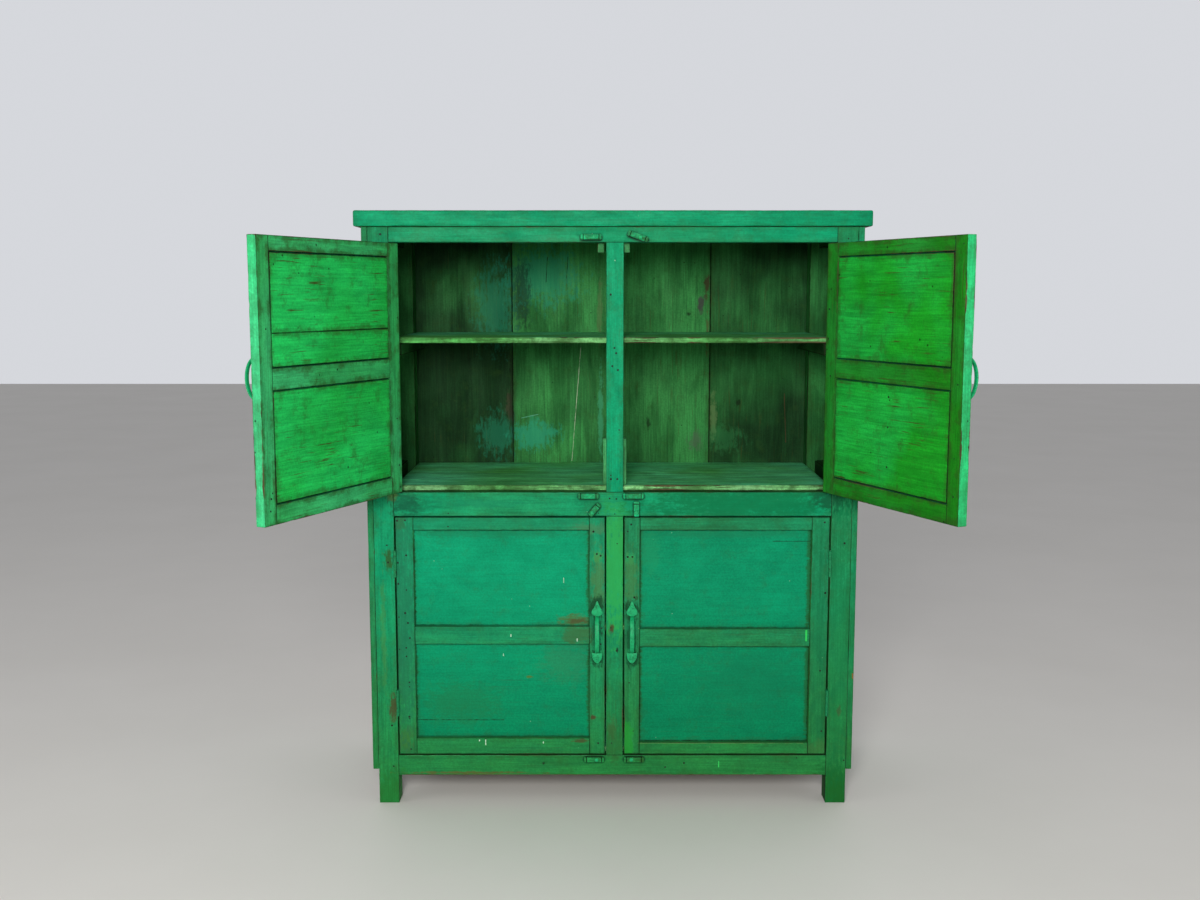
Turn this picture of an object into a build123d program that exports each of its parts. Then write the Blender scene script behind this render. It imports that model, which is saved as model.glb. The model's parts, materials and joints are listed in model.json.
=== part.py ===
from build123d import *
import os
from math import cos, radians, sin

# A hand-made two-tier pantry cabinet of painted boards: four posts, mortised rails, nailed boards
# and four framed doors on butt hinges, held shut by wooden turn buttons.
# Millimetres. +Z is up and the doors face -Y. The origin is on the floor, under the middle of the carcass.

# ---- Carcass ----
carcass_width = 1155.0
carcass_depth = 440.0
leg_clearance = 70.0
bottom_rail_height = 50.0
lower_opening_height = 585.0
mid_rail_height = 57.0
upper_opening_height = 580.0
top_rail_height = 35.0
post_size = 48.0
post_chamfer = 1.5
front_rail_depth = 40.0
back_rail_depth = 25.0
back_top_rail_height = 20.0
side_rail_thickness = 25.0
side_mid_rail_rise = 26.0
side_board_thickness = 14.0
side_board_clearance = 85.0
side_board_count = 2
back_board_thickness = 15.0
back_board_inner_width = 262.0
board_seam = 1.0

# ---- Joinery ----
tenon_shoulder = 5.0
front_tenon_thickness = 14.0
thin_tenon_thickness = 10.0
mortise_clearance = 0.3
mortise_end_gap = 1.0
stile_tenon_length = 18.0
stile_tenon_thickness = 10.0

# ---- Centre stiles ----
stile_width = 40.0
stile_shift = 5.0

# ---- Top, decks and shelves ----
top_thickness = 37.0
top_side_overhang = 16.5
top_front_overhang = 8.0
top_corner_radius = 8.0
top_edge_radius = 4.0
deck_thickness = 13.5
shelf_thickness = 14.0
board_fit = 0.5
upper_shelf_height = 1124.0
lower_shelf_height = 437.0
cleat_width = 22.0
cleat_height = 28.5
stop_block_width = 15.0
stop_block_depth = 14.0
stop_block_height = 23.0
left_stop_block_gap = 5.0
backing_block_width = 56.0
backing_block_depth = 18.0
backing_block_height = 111.0

# ---- Doors ----
door_thickness = 22.0
door_gap = 3.0
door_stop_gap = 3.0
hinge_stile_width = 42.0
free_stile_width = 37.0
door_top_rail = 31.0
door_mid_rail = 44.0
door_bottom_rail = 40.0
door_mid_rise = 4.0
lower_right_bottom_rail = 29.0
lower_right_mid_rise = -2.0
panel_recess = 10.0
tongue_thickness = 6.0
tongue_depth = 5.5
groove_depth = 6.0
panel_back_gap = 2.0
door_tenon_length = 25.0
upper_left_opening_angle = 114.0
upper_right_opening_angle = 113.0

# ---- Butt hinges ----
hinge_length = 63.5
hinge_from_top = 111.0
hinge_from_bottom = 128.0
knuckle_radius = 3.6
knuckle_count = 5
knuckle_end_gap = 0.3
pin_radius = 2.0
pin_running_clearance = 0.05
axis_ahead_of_face = 4.2
leaf_width = 19.0
leaf_gap = 0.2
hinge_screw_pitch = 40.0
hinge_screw_inset = 11.0
small_screw_radius = 1.5
small_screw_head_radius = 2.8
small_screw_head_height = 1.3
small_screw_length = 14.0

# ---- Bow handles ----
bow_height = 90.0
bow_reach = 28.0
bow_thickness = 4.0
bow_width = 9.5
handle_rise = 6.0
spade_thickness = 2.5
upper_spade_length = 37.0
upper_spade_radius = 13.5
lower_spade_length = 25.0
lower_spade_radius = 12.0

# ---- Turn buttons and their screws ----
button_width = 12.0
button_thickness = 8.0
button_long_arm = 30.0
button_short_arm = 18.0
low_button_long_arm = 26.0
low_button_short_arm = 9.0
top_button_above_opening = 12.0
high_button_below_opening = 8.0
low_button_above_opening = 9.5
bottom_button_below_opening = 9.0
right_top_button_drop = 1.0
button_corner_radius = 3.0
button_groove_width = 2.0
button_groove_depth = 1.5
button_groove_inset = 6.0
button_face_clearance = 0.6
big_screw_radius = 2.0
big_screw_running_clearance = 0.06
big_screw_head_radius = 4.5
big_screw_head_height = 1.8
big_screw_bite = 14.0
handle_screw_bite = 13.0
screw_head_clearance = 0.2

# ---- Nails ----
nail_radius = 1.2
nail_head_radius = 3.2
nail_head_thickness = 0.8
nail_bite = 14.0
nail_inset = 34.0
top_nail_shares = (-0.9, -0.45, 0.45, 0.9)

# ---- Places worked out from the sizes above ----
front = -carcass_depth / 2
back = carcass_depth / 2
post_outer = carcass_width / 2 - side_board_thickness
post_inner = post_outer - post_size
inner_back = back - back_board_thickness
bottom_rail = (leg_clearance, leg_clearance + bottom_rail_height)
lower_opening = (bottom_rail[1], bottom_rail[1] + lower_opening_height)
mid_rail = (lower_opening[1], lower_opening[1] + mid_rail_height)
upper_opening = (mid_rail[1], mid_rail[1] + upper_opening_height)
top_rail = (upper_opening[1], upper_opening[1] + top_rail_height)
side_mid_rail = (mid_rail[0] + side_mid_rail_rise, mid_rail[1] + side_mid_rail_rise)
back_top_rail = (top_rail[1] - back_top_rail_height, top_rail[1])
setback = door_thickness + door_stop_gap
tenon_length = post_size / 2
inner_front = front + setback
stile = (stile_shift - stile_width / 2, stile_shift + stile_width / 2)
leaf_thickness = (door_gap - leaf_gap) / 2
front_tenon_y = (
    front + (front_rail_depth - front_tenon_thickness) / 2,
    front + (front_rail_depth + front_tenon_thickness) / 2,
)
back_tenon_y = (
    inner_back - (back_rail_depth + thin_tenon_thickness) / 2,
    inner_back - (back_rail_depth - thin_tenon_thickness) / 2,
)
tenon_tips = (-post_inner - tenon_length, post_inner + tenon_length)
side_tenon_x = (
    post_outer - (side_rail_thickness + thin_tenon_thickness) / 2,
    post_outer - (side_rail_thickness - thin_tenon_thickness) / 2,
)
stile_tenon_x = (stile[0] + tenon_shoulder, stile[1] - tenon_shoulder)
stile_tenon_y = (
    front + (setback - stile_tenon_thickness) / 2,
    front + (setback + stile_tenon_thickness) / 2,
)

os.makedirs("parts", exist_ok=True)

# Turns that point a location's own +Z out of each face of the carcass.
facing_left = (0, -90, 0)
facing_right = (0, 90, 0)
facing_front = (90, 0, 0)
facing_back = (-90, 0, 0)


def pair(first, second):
    """Two numbers, lowest first."""
    return (min(first, second), max(first, second))


def grow(limits, amount):
    """A pair of limits moved apart by an amount at each end."""
    return (limits[0] - amount, limits[1] + amount)


def slab(x, y, z, mode=Mode.ADD):
    """A box between its low and high limits along each axis."""
    with Locations(((x[0] + x[1]) / 2, (y[0] + y[1]) / 2, (z[0] + z[1]) / 2)):
        Box(x[1] - x[0], y[1] - y[0], z[1] - z[0], mode=mode)


def save(part, name):
    """Labels a finished piece and writes it."""
    part.label = name
    export_step(part, f"parts/{name}.step")


# ---- Nail places, shared by the boards, the rails under them and the nails ----
side_nail_y = []
side_board_width = carcass_depth / side_board_count
for index in range(side_board_count):
    board = (front + index * side_board_width, front + (index + 1) * side_board_width)
    inside = (max(board[0], front + post_size), min(board[1], inner_back - post_size))
    side_nail_y += [inside[0] + nail_inset, inside[1] - nail_inset]

back_seams = (-back_board_inner_width, 0.0, back_board_inner_width)
back_board_edges = (-post_inner, *back_seams, post_inner)
back_nail_x = []
for low, high in zip(back_board_edges, back_board_edges[1:]):
    back_nail_x += [low + nail_inset, high - nail_inset]

rail_levels = (top_rail, side_mid_rail, bottom_rail)
side_nail_z = [(level[0] + level[1]) / 2 for level in rail_levels]
back_rail_levels = (back_top_rail, mid_rail, bottom_rail)
back_nail_z = [(level[0] + level[1]) / 2 for level in back_rail_levels]

top_nail_x = [post_inner * share for share in top_nail_shares]
top_front_nail_y = front + front_rail_depth / 2
top_back_nail_y = inner_back - back_rail_depth / 2
top_side_nail_x = post_outer - side_rail_thickness / 2
top_side_nail_y = (side_nail_y[0], side_nail_y[-1])


def side_spots(side, x):
    """Nail places on a side face at the given distance from the middle."""
    turn = facing_right if side > 0 else facing_left
    return [Location((side * x, y, z), turn) for y in side_nail_y for z in side_nail_z]


def back_spots(y):
    """Nail places on the back at the given depth."""
    return [Location((x, y, z), facing_back) for x in back_nail_x for z in back_nail_z]


def top_spots(z):
    """Nail places on the top at the given height: front rail, back rail, then the side rails."""
    front_row = [Location((x, top_front_nail_y, z)) for x in top_nail_x]
    back_row = [Location((x, top_back_nail_y, z)) for x in top_nail_x]
    ends = [Location((side * top_side_nail_x, y, z)) for side in (-1, 1) for y in top_side_nail_y]
    return front_row, back_row, ends


# ---- Turn button places: name, pivot X and Z, direction of the long arm at rest, arms ----
top_button_z = top_rail[0] + top_button_above_opening
high_button_z = mid_rail[1] - high_button_below_opening
low_button_z = mid_rail[0] + low_button_above_opening
bottom_button_z = bottom_rail[1] - bottom_button_below_opening
standard_arms = (button_long_arm, button_short_arm)
low_arms = (low_button_long_arm, low_button_short_arm)
buttons = (
    ("turn_button_top_left", -44.0, top_button_z, 180.0, standard_arms),
    ("turn_button_top_right", 63.0, top_button_z - right_top_button_drop, 160.0, standard_arms),
    ("turn_button_high_left", -51.0, high_button_z, 180.0, standard_arms),
    ("turn_button_high_right", 43.0, high_button_z, 0.0, standard_arms),
    ("turn_button_low_left", -48.0, low_button_z, 50.0, low_arms),
    ("turn_button_low_right", 56.0, low_button_z, 90.0, low_arms),
    ("turn_button_bottom_left", -38.0, bottom_button_z, 180.0, standard_arms),
    ("turn_button_bottom_right", 46.0, bottom_button_z, 0.0, standard_arms),
)


def button_spots(level):
    """Screw places on the front face of the rail that spans the given level."""
    return [Location((x, front, z), facing_front) for _, x, z, _, _ in buttons if level[0] < z < level[1]]


# ---- Doors: name, side of the carcass, opening across and up, angle at which it stands ----
left_opening = (-post_inner, stile[0])
right_opening = (stile[1], post_inner)
doors = (
    ("door_upper_left", -1, left_opening, upper_opening, upper_left_opening_angle),
    ("door_upper_right", 1, right_opening, upper_opening, upper_right_opening_angle),
    ("door_lower_left", -1, left_opening, lower_opening, 0.0),
    ("door_lower_right", 1, right_opening, lower_opening, 0.0),
)
own_rails = {"door_lower_right": (lower_right_bottom_rail, lower_right_mid_rise)}
hinge_axis_x = post_inner - door_gap / 2
hinge_axis_y = front - axis_ahead_of_face


def hinge_levels(opening):
    """The heights of the middles of a door's two hinges."""
    return (opening[0] + door_gap + hinge_from_bottom, opening[1] - door_gap - hinge_from_top)


def hinge_screw_levels(opening):
    """The heights of a door's hinge screws."""
    middles = hinge_levels(opening)
    return [middle + half * hinge_screw_pitch / 2 for middle in middles for half in (-1, 1)]


# ---- Posts ----
def build_post(name, side, end):
    """A corner post, side -1 left or 1 right, end -1 front or 1 back."""
    x = pair(side * post_inner, side * post_outer)
    y = (front, front + post_size) if end < 0 else (inner_back - post_size, inner_back)
    rail_y = front_tenon_y if end < 0 else back_tenon_y
    levels = (bottom_rail, mid_rail, top_rail) if end < 0 else (bottom_rail, mid_rail, back_top_rail)
    deep = tenon_length + mortise_end_gap
    mouth = y[1] if end < 0 else y[0]
    with BuildPart() as post:
        slab(x, y, (0, top_rail[1]))
        chamfer(post.edges().filter_by(Axis.Z), post_chamfer)
        chamfer(post.faces().sort_by(Axis.Z)[0].edges(), post_chamfer)
        for level in levels:
            slab(
                pair(side * post_inner, side * (post_inner + deep)),
                grow(rail_y, mortise_clearance),
                grow(level, mortise_clearance - tenon_shoulder),
                mode=Mode.SUBTRACT,
            )
        for level in rail_levels:
            slab(
                grow(pair(side * side_tenon_x[0], side * side_tenon_x[1]), mortise_clearance),
                pair(mouth, mouth + end * deep),
                grow(level, mortise_clearance - tenon_shoulder),
                mode=Mode.SUBTRACT,
            )
        if end < 0:
            turn = facing_left if side > 0 else facing_right
            spots = [
                Location((side * post_inner, front + hinge_screw_inset, z), turn)
                for opening in (upper_opening, lower_opening)
                for z in hinge_screw_levels(opening)
            ]
            with Locations(*spots):
                Hole(small_screw_radius, small_screw_length)
    save(post.part, name)


build_post("post_front_left", -1, -1)
build_post("post_front_right", 1, -1)
build_post("post_back_left", -1, 1)
build_post("post_back_right", 1, 1)


# ---- Front rails ----
def build_front_rail(name, level, stile_above, stile_below):
    """A front rail with a tenon at each end and a mortise for each centre stile that meets it."""
    deep = stile_tenon_length + mortise_end_gap
    with BuildPart() as rail:
        slab((-post_inner, post_inner), (front, front + front_rail_depth), level)
        slab(tenon_tips, front_tenon_y, grow(level, -tenon_shoulder))
        cuts = []
        if stile_above:
            cuts.append((level[1] - deep, level[1]))
        if stile_below:
            cuts.append((level[0], level[0] + deep))
        for z in cuts:
            slab(
                grow(stile_tenon_x, mortise_clearance),
                grow(stile_tenon_y, mortise_clearance),
                z,
                mode=Mode.SUBTRACT,
            )
        with Locations(*button_spots(level)):
            Hole(big_screw_radius, big_screw_bite)
        if level == top_rail:
            with Locations(*top_spots(level[1])[0]):
                Hole(nail_radius, nail_bite)
    save(rail.part, name)


build_front_rail("front_top_rail", top_rail, False, True)
build_front_rail("front_mid_rail", mid_rail, True, True)
build_front_rail("front_bottom_rail", bottom_rail, True, False)


# ---- Centre stiles ----
def build_centre_stile(name, opening):
    """An upright between the doors, tenoned into the rails above and below it."""
    with BuildPart() as upright:
        slab(stile, (front, inner_front), opening)
        slab(stile_tenon_x, stile_tenon_y, grow(opening, stile_tenon_length))
    save(upright.part, name)


build_centre_stile("centre_stile_upper", upper_opening)
build_centre_stile("centre_stile_lower", lower_opening)

# ---- Back rails ----
with BuildPart() as back_rails:
    for level in back_rail_levels:
        slab((-post_inner, post_inner), (inner_back - back_rail_depth, inner_back), level)
        slab(tenon_tips, back_tenon_y, grow(level, -tenon_shoulder))
    with Locations(*back_spots(inner_back)):
        Hole(nail_radius, nail_bite)
    with Locations(*top_spots(top_rail[1])[1]):
        Hole(nail_radius, nail_bite)
save(back_rails.part, "back_rails")


# ---- Side rails and side boards ----
def build_side_rails(name, side):
    """Three rails from front post to back post, flush with the outside of the posts."""
    x = pair(side * (post_outer - side_rail_thickness), side * post_outer)
    run = (front + post_size, inner_back - post_size)
    ends = top_spots(top_rail[1])[2]
    with BuildPart() as rails:
        for level in rail_levels:
            slab(x, run, level)
            slab(
                pair(side * side_tenon_x[0], side * side_tenon_x[1]),
                grow(run, tenon_length),
                grow(level, -tenon_shoulder),
            )
        with Locations(*side_spots(side, post_outer)):
            Hole(nail_radius, nail_bite)
        with Locations(*[spot for spot in ends if spot.position.X * side > 0]):
            Hole(nail_radius, nail_bite)
    save(rails.part, name)


def build_side_boards(name, side):
    """Upright boards nailed to the outside of the posts."""
    x = pair(side * post_outer, side * carcass_width / 2)
    with BuildPart() as boards:
        slab(x, (front, back), (side_board_clearance, top_rail[1]))
        for index in range(1, side_board_count):
            seam = front + index * side_board_width
            slab(x, grow((seam, seam), board_seam / 2), (0, top_rail[1]), mode=Mode.SUBTRACT)
        with Locations(*side_spots(side, carcass_width / 2)):
            CounterBoreHole(nail_radius, nail_head_radius, nail_head_thickness, side_board_thickness)
    save(boards.part, name)


for side_name, side in (("left", -1), ("right", 1)):
    build_side_rails(f"side_rails_{side_name}", side)
    build_side_boards(f"side_boards_{side_name}", side)

# ---- Back boards ----
with BuildPart() as back_boards:
    slab((-post_outer, post_outer), (inner_back, back), (leg_clearance, top_rail[1]))
    for seam in back_seams:
        slab(grow((seam, seam), board_seam / 2), (inner_back, back), (0, top_rail[1]), mode=Mode.SUBTRACT)
    with Locations(*back_spots(back)):
        CounterBoreHole(nail_radius, nail_head_radius, nail_head_thickness, back_board_thickness)
save(back_boards.part, "back_boards")

# ---- Top ----
top_half_width = carcass_width / 2 + top_side_overhang
top_y = (front - top_front_overhang, back)
top_surface = top_rail[1] + top_thickness
with BuildPart() as top_board:
    slab((-top_half_width, top_half_width), top_y, (top_rail[1], top_surface))
    fillet(top_board.edges().filter_by(Axis.Z), top_corner_radius)
    rims = top_board.faces().filter_by(Axis.Z).edges()
    fillet(rims, top_edge_radius)
    slab(
        (-top_half_width, top_half_width),
        grow((0, 0), board_seam / 2),
        (top_rail[1], top_surface),
        mode=Mode.SUBTRACT,
    )
    with Locations(*[spot for row in top_spots(top_surface) for spot in row]):
        CounterBoreHole(nail_radius, nail_head_radius, nail_head_thickness, top_thickness)
save(top_board.part, "top_board")


# ---- Decks and shelves, each of two boards ----
def build_level(name, z):
    """A level of two boards between the posts, set back so that the doors close in front of it."""
    x = (-post_inner + board_fit, post_inner - board_fit)
    y = (inner_front, inner_back - board_fit)
    middle = (y[0] + y[1]) / 2
    with BuildPart() as level:
        slab(x, y, z)
        slab(x, grow((middle, middle), board_seam / 2), z, mode=Mode.SUBTRACT)
    save(level.part, name)


build_level("bottom_deck", (bottom_rail[1], bottom_rail[1] + deck_thickness))
build_level("mid_deck", (mid_rail[1], mid_rail[1] + deck_thickness))
build_level("upper_shelf", (upper_shelf_height - shelf_thickness, upper_shelf_height))
build_level("lower_shelf", (lower_shelf_height - shelf_thickness, lower_shelf_height))

# ---- Cleats under the ends of the shelves ----
with BuildPart() as shelf_cleats:
    for shelf_height in (upper_shelf_height, lower_shelf_height):
        under = shelf_height - shelf_thickness
        for side in (-1, 1):
            slab(
                pair(side * (post_inner - cleat_width), side * post_inner),
                (inner_front, inner_back),
                (under - cleat_height, under),
            )
save(shelf_cleats.part, "shelf_cleats")

# ---- Door stops: two small blocks under the top rail, and a block behind the foot of the stile ----
with BuildPart() as stop_blocks:
    left_block_end = stile[0] - left_stop_block_gap
    block_y = (inner_front, inner_front + stop_block_depth)
    block_z = (top_rail[0] - stop_block_height, top_rail[0])
    slab((left_block_end - stop_block_width, left_block_end), block_y, block_z)
    slab((stile[1], stile[1] + stop_block_width), block_y, block_z)
    deck_top = mid_rail[1] + deck_thickness
    slab(
        (stile_shift - backing_block_width / 2, stile_shift + backing_block_width / 2),
        (inner_front, inner_front + backing_block_depth),
        (deck_top, deck_top + backing_block_height),
    )
save(stop_blocks.part, "stop_blocks")

# ---- Nails of the side, back and top boards ----
nail_rows = (
    (side_spots(-1, carcass_width / 2) + side_spots(1, carcass_width / 2), side_board_thickness),
    (back_spots(back), back_board_thickness),
    ([spot for row in top_spots(top_surface) for spot in row], top_thickness),
)
hang = (Align.CENTER, Align.CENTER, Align.MAX)
with BuildPart() as board_nails:
    for spots, board_thickness in nail_rows:
        with Locations(*spots):
            Cylinder(nail_head_radius, nail_head_thickness, align=hang)
            Cylinder(nail_radius, board_thickness + nail_bite, align=hang)
save(board_nails.part, "board_nails")

# ---- Hinge parts that stay with the carcass ----
knuckle_pitch = hinge_length / knuckle_count


def knuckle_spans(middle, first):
    """Heights of every second knuckle of a hinge, from the first one named."""
    foot = middle - hinge_length / 2
    spans = []
    for index in range(first, knuckle_count, 2):
        low = foot + index * knuckle_pitch
        spans.append((low + knuckle_end_gap / 2, low + knuckle_pitch - knuckle_end_gap / 2))
    return spans


def add_leaf(centre_x, centre_y, reach, middle, first, bore):
    """A hinge leaf: a plate on one side of the gap, and its knuckles round the pin's axis.

    reach is 1 where the plate lies on the +X side of the axis and -1 where it lies on the -X side.
    """
    x = pair(centre_x + reach * leaf_gap / 2, centre_x + reach * door_gap / 2)
    face = centre_y + axis_ahead_of_face
    slab(x, (face, face + leaf_width), grow((middle, middle), hinge_length / 2))
    for low, high in knuckle_spans(middle, first):
        slab(x, (centre_y, face), (low, high))
        with Locations((centre_x, centre_y, (low + high) / 2)):
            Cylinder(knuckle_radius, high - low)
    with Locations((centre_x, centre_y, middle)):
        Cylinder(bore, hinge_length, mode=Mode.SUBTRACT)
    turn = facing_left if reach > 0 else facing_right
    spots = []
    for half in (-1, 1):
        z = middle + half * hinge_screw_pitch / 2
        spots.append(Location((centre_x + reach * leaf_gap / 2, face + hinge_screw_inset, z), turn))
    with Locations(*spots):
        CounterSinkHole(small_screw_radius, small_screw_head_radius, leaf_thickness, counter_sink_angle=90)


def add_small_screw():
    """A countersunk hinge screw, its head in the leaf and its shank in the wood."""
    Cone(small_screw_radius, small_screw_head_radius, small_screw_head_height, align=hang)
    Cylinder(small_screw_radius, leaf_thickness + small_screw_length, align=hang)


with BuildPart() as hinge_frame_leaves:
    for _, side, _, opening, _ in doors:
        for middle in hinge_levels(opening):
            add_leaf(side * hinge_axis_x, hinge_axis_y, side, middle, 0, pin_radius)
save(hinge_frame_leaves.part, "hinge_frame_leaves")

with BuildPart() as hinge_pins:
    for _, side, _, opening, _ in doors:
        with Locations(*[(side * hinge_axis_x, hinge_axis_y, middle) for middle in hinge_levels(opening)]):
            Cylinder(pin_radius, hinge_length)
save(hinge_pins.part, "hinge_pins")

with BuildPart() as hinge_frame_screws:
    for _, side, _, opening, _ in doors:
        turn = facing_left if side > 0 else facing_right
        leaf_x = side * (hinge_axis_x + leaf_gap / 2)
        spots = [Location((leaf_x, front + hinge_screw_inset, z), turn) for z in hinge_screw_levels(opening)]
        with Locations(*spots):
            add_small_screw()
save(hinge_frame_screws.part, "hinge_frame_screws")


# ---- Turn buttons ----
def build_button(name, x, z, direction, arms):
    """A wooden turn button with a saw cut near each end, lying just clear of the front face."""
    angle = radians(direction)
    flat = Plane(
        origin=(x, front - button_face_clearance, z),
        x_dir=(cos(angle), 0, sin(angle)),
        z_dir=(0, -1, 0),
    )
    long_arm, short_arm = arms
    with BuildPart(flat) as button:
        with BuildSketch(flat):
            with Locations(((long_arm - short_arm) / 2, 0)):
                outline = Rectangle(long_arm + short_arm, button_width)
            fillet(outline.vertices(), button_corner_radius)
        extrude(amount=button_thickness)
        with Locations((0, 0, button_thickness)):
            Hole(big_screw_radius + big_screw_running_clearance, button_thickness)
        for cut_x in (long_arm - button_groove_inset, button_groove_inset - short_arm):
            if abs(cut_x) > big_screw_head_radius:
                slab(
                    grow((cut_x, cut_x), button_groove_width / 2),
                    (-button_width, button_width),
                    (button_thickness - button_groove_depth, button_thickness),
                    mode=Mode.SUBTRACT,
                )
    save(button.part, name)


for button_row in buttons:
    build_button(*button_row)

head_stand_off = button_face_clearance + button_thickness + screw_head_clearance
with BuildPart() as turn_button_screws:
    button_screw_spots = [
        Location((x, front - head_stand_off - big_screw_head_height, z), facing_front)
        for _, x, z, _, _ in buttons
    ]
    with Locations(*button_screw_spots):
        Cylinder(big_screw_head_radius, big_screw_head_height, align=hang)
        Cylinder(big_screw_radius, big_screw_head_height + head_stand_off + big_screw_bite, align=hang)
save(turn_button_screws.part, "turn_button_screws")


# ---- Doors ----
def build_door(name, side, across, opening, angle):
    """A framed door of two panels, built in a plane that turns about its hinge axis.

    The plane's X runs along the closed door towards +X, its Y runs to the back of the cabinet,
    and its origin is on the hinge axis at floor level.
    """
    inward = -side
    turn = radians(side * angle)
    hang_plane = Plane(
        origin=(side * hinge_axis_x, hinge_axis_y, 0),
        x_dir=(cos(turn), sin(turn), 0),
        z_dir=(0, 0, 1),
    )
    width = across[1] - across[0] - 2 * door_gap
    low = opening[0] + door_gap
    high = opening[1] - door_gap
    face = axis_ahead_of_face
    rear = face + door_thickness
    tongue_y = (face + panel_recess, face + panel_recess + tongue_thickness)
    groove_y = grow(tongue_y, mortise_clearance)
    foot_rail, rise = own_rails.get(name, (door_bottom_rail, door_mid_rise))
    middle = (low + high) / 2 + rise

    def along(near, far):
        """Limits along the door between two distances from its hinge edge."""
        return pair(inward * (door_gap / 2 + near), inward * (door_gap / 2 + far))

    free_shoulder = width - free_stile_width
    rail_zs = (
        (low, low + foot_rail),
        (middle - door_mid_rail / 2, middle + door_mid_rail / 2),
        (high - door_top_rail, high),
    )
    panel_zs = ((rail_zs[0][1], rail_zs[1][0]), (rail_zs[1][1], rail_zs[2][0]))
    hinge_middles = hinge_levels(opening)
    edge_x = inward * door_gap / 2
    handle_x = inward * (door_gap / 2 + width - free_stile_width / 2)
    handle_z = (low + high) / 2 + handle_rise
    screw_turn = facing_left if inward > 0 else facing_right
    upper_screw_z = handle_z + bow_height / 2 + upper_spade_length - upper_spade_radius
    lower_screw_z = handle_z - bow_height / 2 - lower_spade_length + lower_spade_radius
    grip_screw_zs = (upper_screw_z, lower_screw_z)
    hinge_screw_zs = hinge_screw_levels(opening)

    with BuildPart(hang_plane) as stiles:
        slab(along(0, hinge_stile_width), (face, rear), (low, high))
        slab(along(free_shoulder, width), (face, rear), (low, high))
        deep = door_tenon_length + mortise_end_gap
        for level in rail_zs:
            slab(
                along(hinge_stile_width - deep, free_shoulder + deep),
                groove_y,
                grow(level, mortise_clearance - groove_depth),
                mode=Mode.SUBTRACT,
            )
        slab(
            along(hinge_stile_width - groove_depth, free_shoulder + groove_depth),
            groove_y,
            (rail_zs[0][1] - groove_depth, rail_zs[2][0] + groove_depth),
            mode=Mode.SUBTRACT,
        )
        spots = [Location((edge_x, face + hinge_screw_inset, z), screw_turn) for z in hinge_screw_zs]
        with Locations(*spots):
            Hole(small_screw_radius, small_screw_length)
        with Locations(*[Location((handle_x, face, z), facing_front) for z in grip_screw_zs]):
            Hole(big_screw_radius, big_screw_bite)
    save(stiles.part, f"{name}_stiles")

    with BuildPart(hang_plane) as rails:
        for level in rail_zs:
            slab(along(hinge_stile_width, free_shoulder), (face, rear), level)
            slab(
                along(hinge_stile_width - door_tenon_length, free_shoulder + door_tenon_length),
                tongue_y,
                grow(level, -groove_depth),
            )
        for panel_z in panel_zs:
            slab(
                along(hinge_stile_width, free_shoulder),
                groove_y,
                grow(panel_z, groove_depth),
                mode=Mode.SUBTRACT,
            )
    save(rails.part, f"{name}_rails")

    with BuildPart(hang_plane) as panels:
        for panel_z in panel_zs:
            slab(
                along(hinge_stile_width - tongue_depth, free_shoulder + tongue_depth),
                tongue_y,
                grow(panel_z, tongue_depth),
            )
            slab(
                along(hinge_stile_width + panel_back_gap, free_shoulder - panel_back_gap),
                (tongue_y[1], rear),
                grow(panel_z, -panel_back_gap),
            )
    save(panels.part, f"{name}_panels")

    with BuildPart(hang_plane) as leaves:
        for hinge_middle in hinge_middles:
            add_leaf(0, 0, inward, hinge_middle, 1, pin_radius + pin_running_clearance)
    save(leaves.part, f"{name}_hinge_leaves")

    grip_origin = hang_plane.from_local_coords((handle_x, face, handle_z))
    bow_plane = Plane(origin=grip_origin, x_dir=-hang_plane.y_dir, z_dir=-hang_plane.x_dir)
    face_plane = Plane(origin=grip_origin, x_dir=hang_plane.x_dir, z_dir=-hang_plane.y_dir)
    with BuildPart() as handle:
        with BuildSketch(bow_plane):
            Ellipse(bow_reach, bow_height / 2)
            Ellipse(bow_reach - bow_thickness, bow_height / 2 - bow_thickness, mode=Mode.SUBTRACT)
            with Locations((bow_reach / 2, 0)):
                Rectangle(bow_reach, bow_height, mode=Mode.INTERSECT)
        extrude(amount=bow_width / 2, both=True)
        spades = (
            (1, upper_spade_length, upper_spade_radius),
            (-1, lower_spade_length, lower_spade_radius),
        )
        for up, spade_length, spade_radius in spades:
            with BuildSketch(face_plane):
                with Locations((0, up * (bow_height / 2 + spade_length - spade_radius))):
                    Circle(spade_radius)
                with Locations((0, up * (bow_height / 2 - bow_thickness / 2))):
                    Rectangle(bow_width, bow_thickness)
                make_hull()
            extrude(amount=spade_thickness)
        for z in grip_screw_zs:
            outer = face_plane.from_local_coords((0, z - handle_z, spade_thickness))
            with Locations(Plane(outer, z_dir=face_plane.z_dir)):
                Hole(big_screw_radius, spade_thickness)
    save(handle.part, f"{name}_handle")

    with BuildPart(hang_plane) as screws:
        leaf_x = inward * leaf_gap / 2
        spots = [Location((leaf_x, face + hinge_screw_inset, z), screw_turn) for z in hinge_screw_zs]
        with Locations(*spots):
            add_small_screw()
        head_y = face - spade_thickness - big_screw_head_height
        grip_screw_length = big_screw_head_height + spade_thickness + handle_screw_bite
        with Locations(*[Location((handle_x, head_y, z), facing_front) for z in grip_screw_zs]):
            Cylinder(big_screw_head_radius, big_screw_head_height, align=hang)
            Cylinder(big_screw_radius, grip_screw_length, align=hang)
    save(screws.part, f"{name}_screws")


for door_row in doors:
    build_door(*door_row)
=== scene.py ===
import json
import math

import bpy
import bmesh
import numpy as np
from bpy.props import FloatProperty, FloatVectorProperty, IntProperty, PointerProperty
from mathutils import Matrix, Vector

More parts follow.
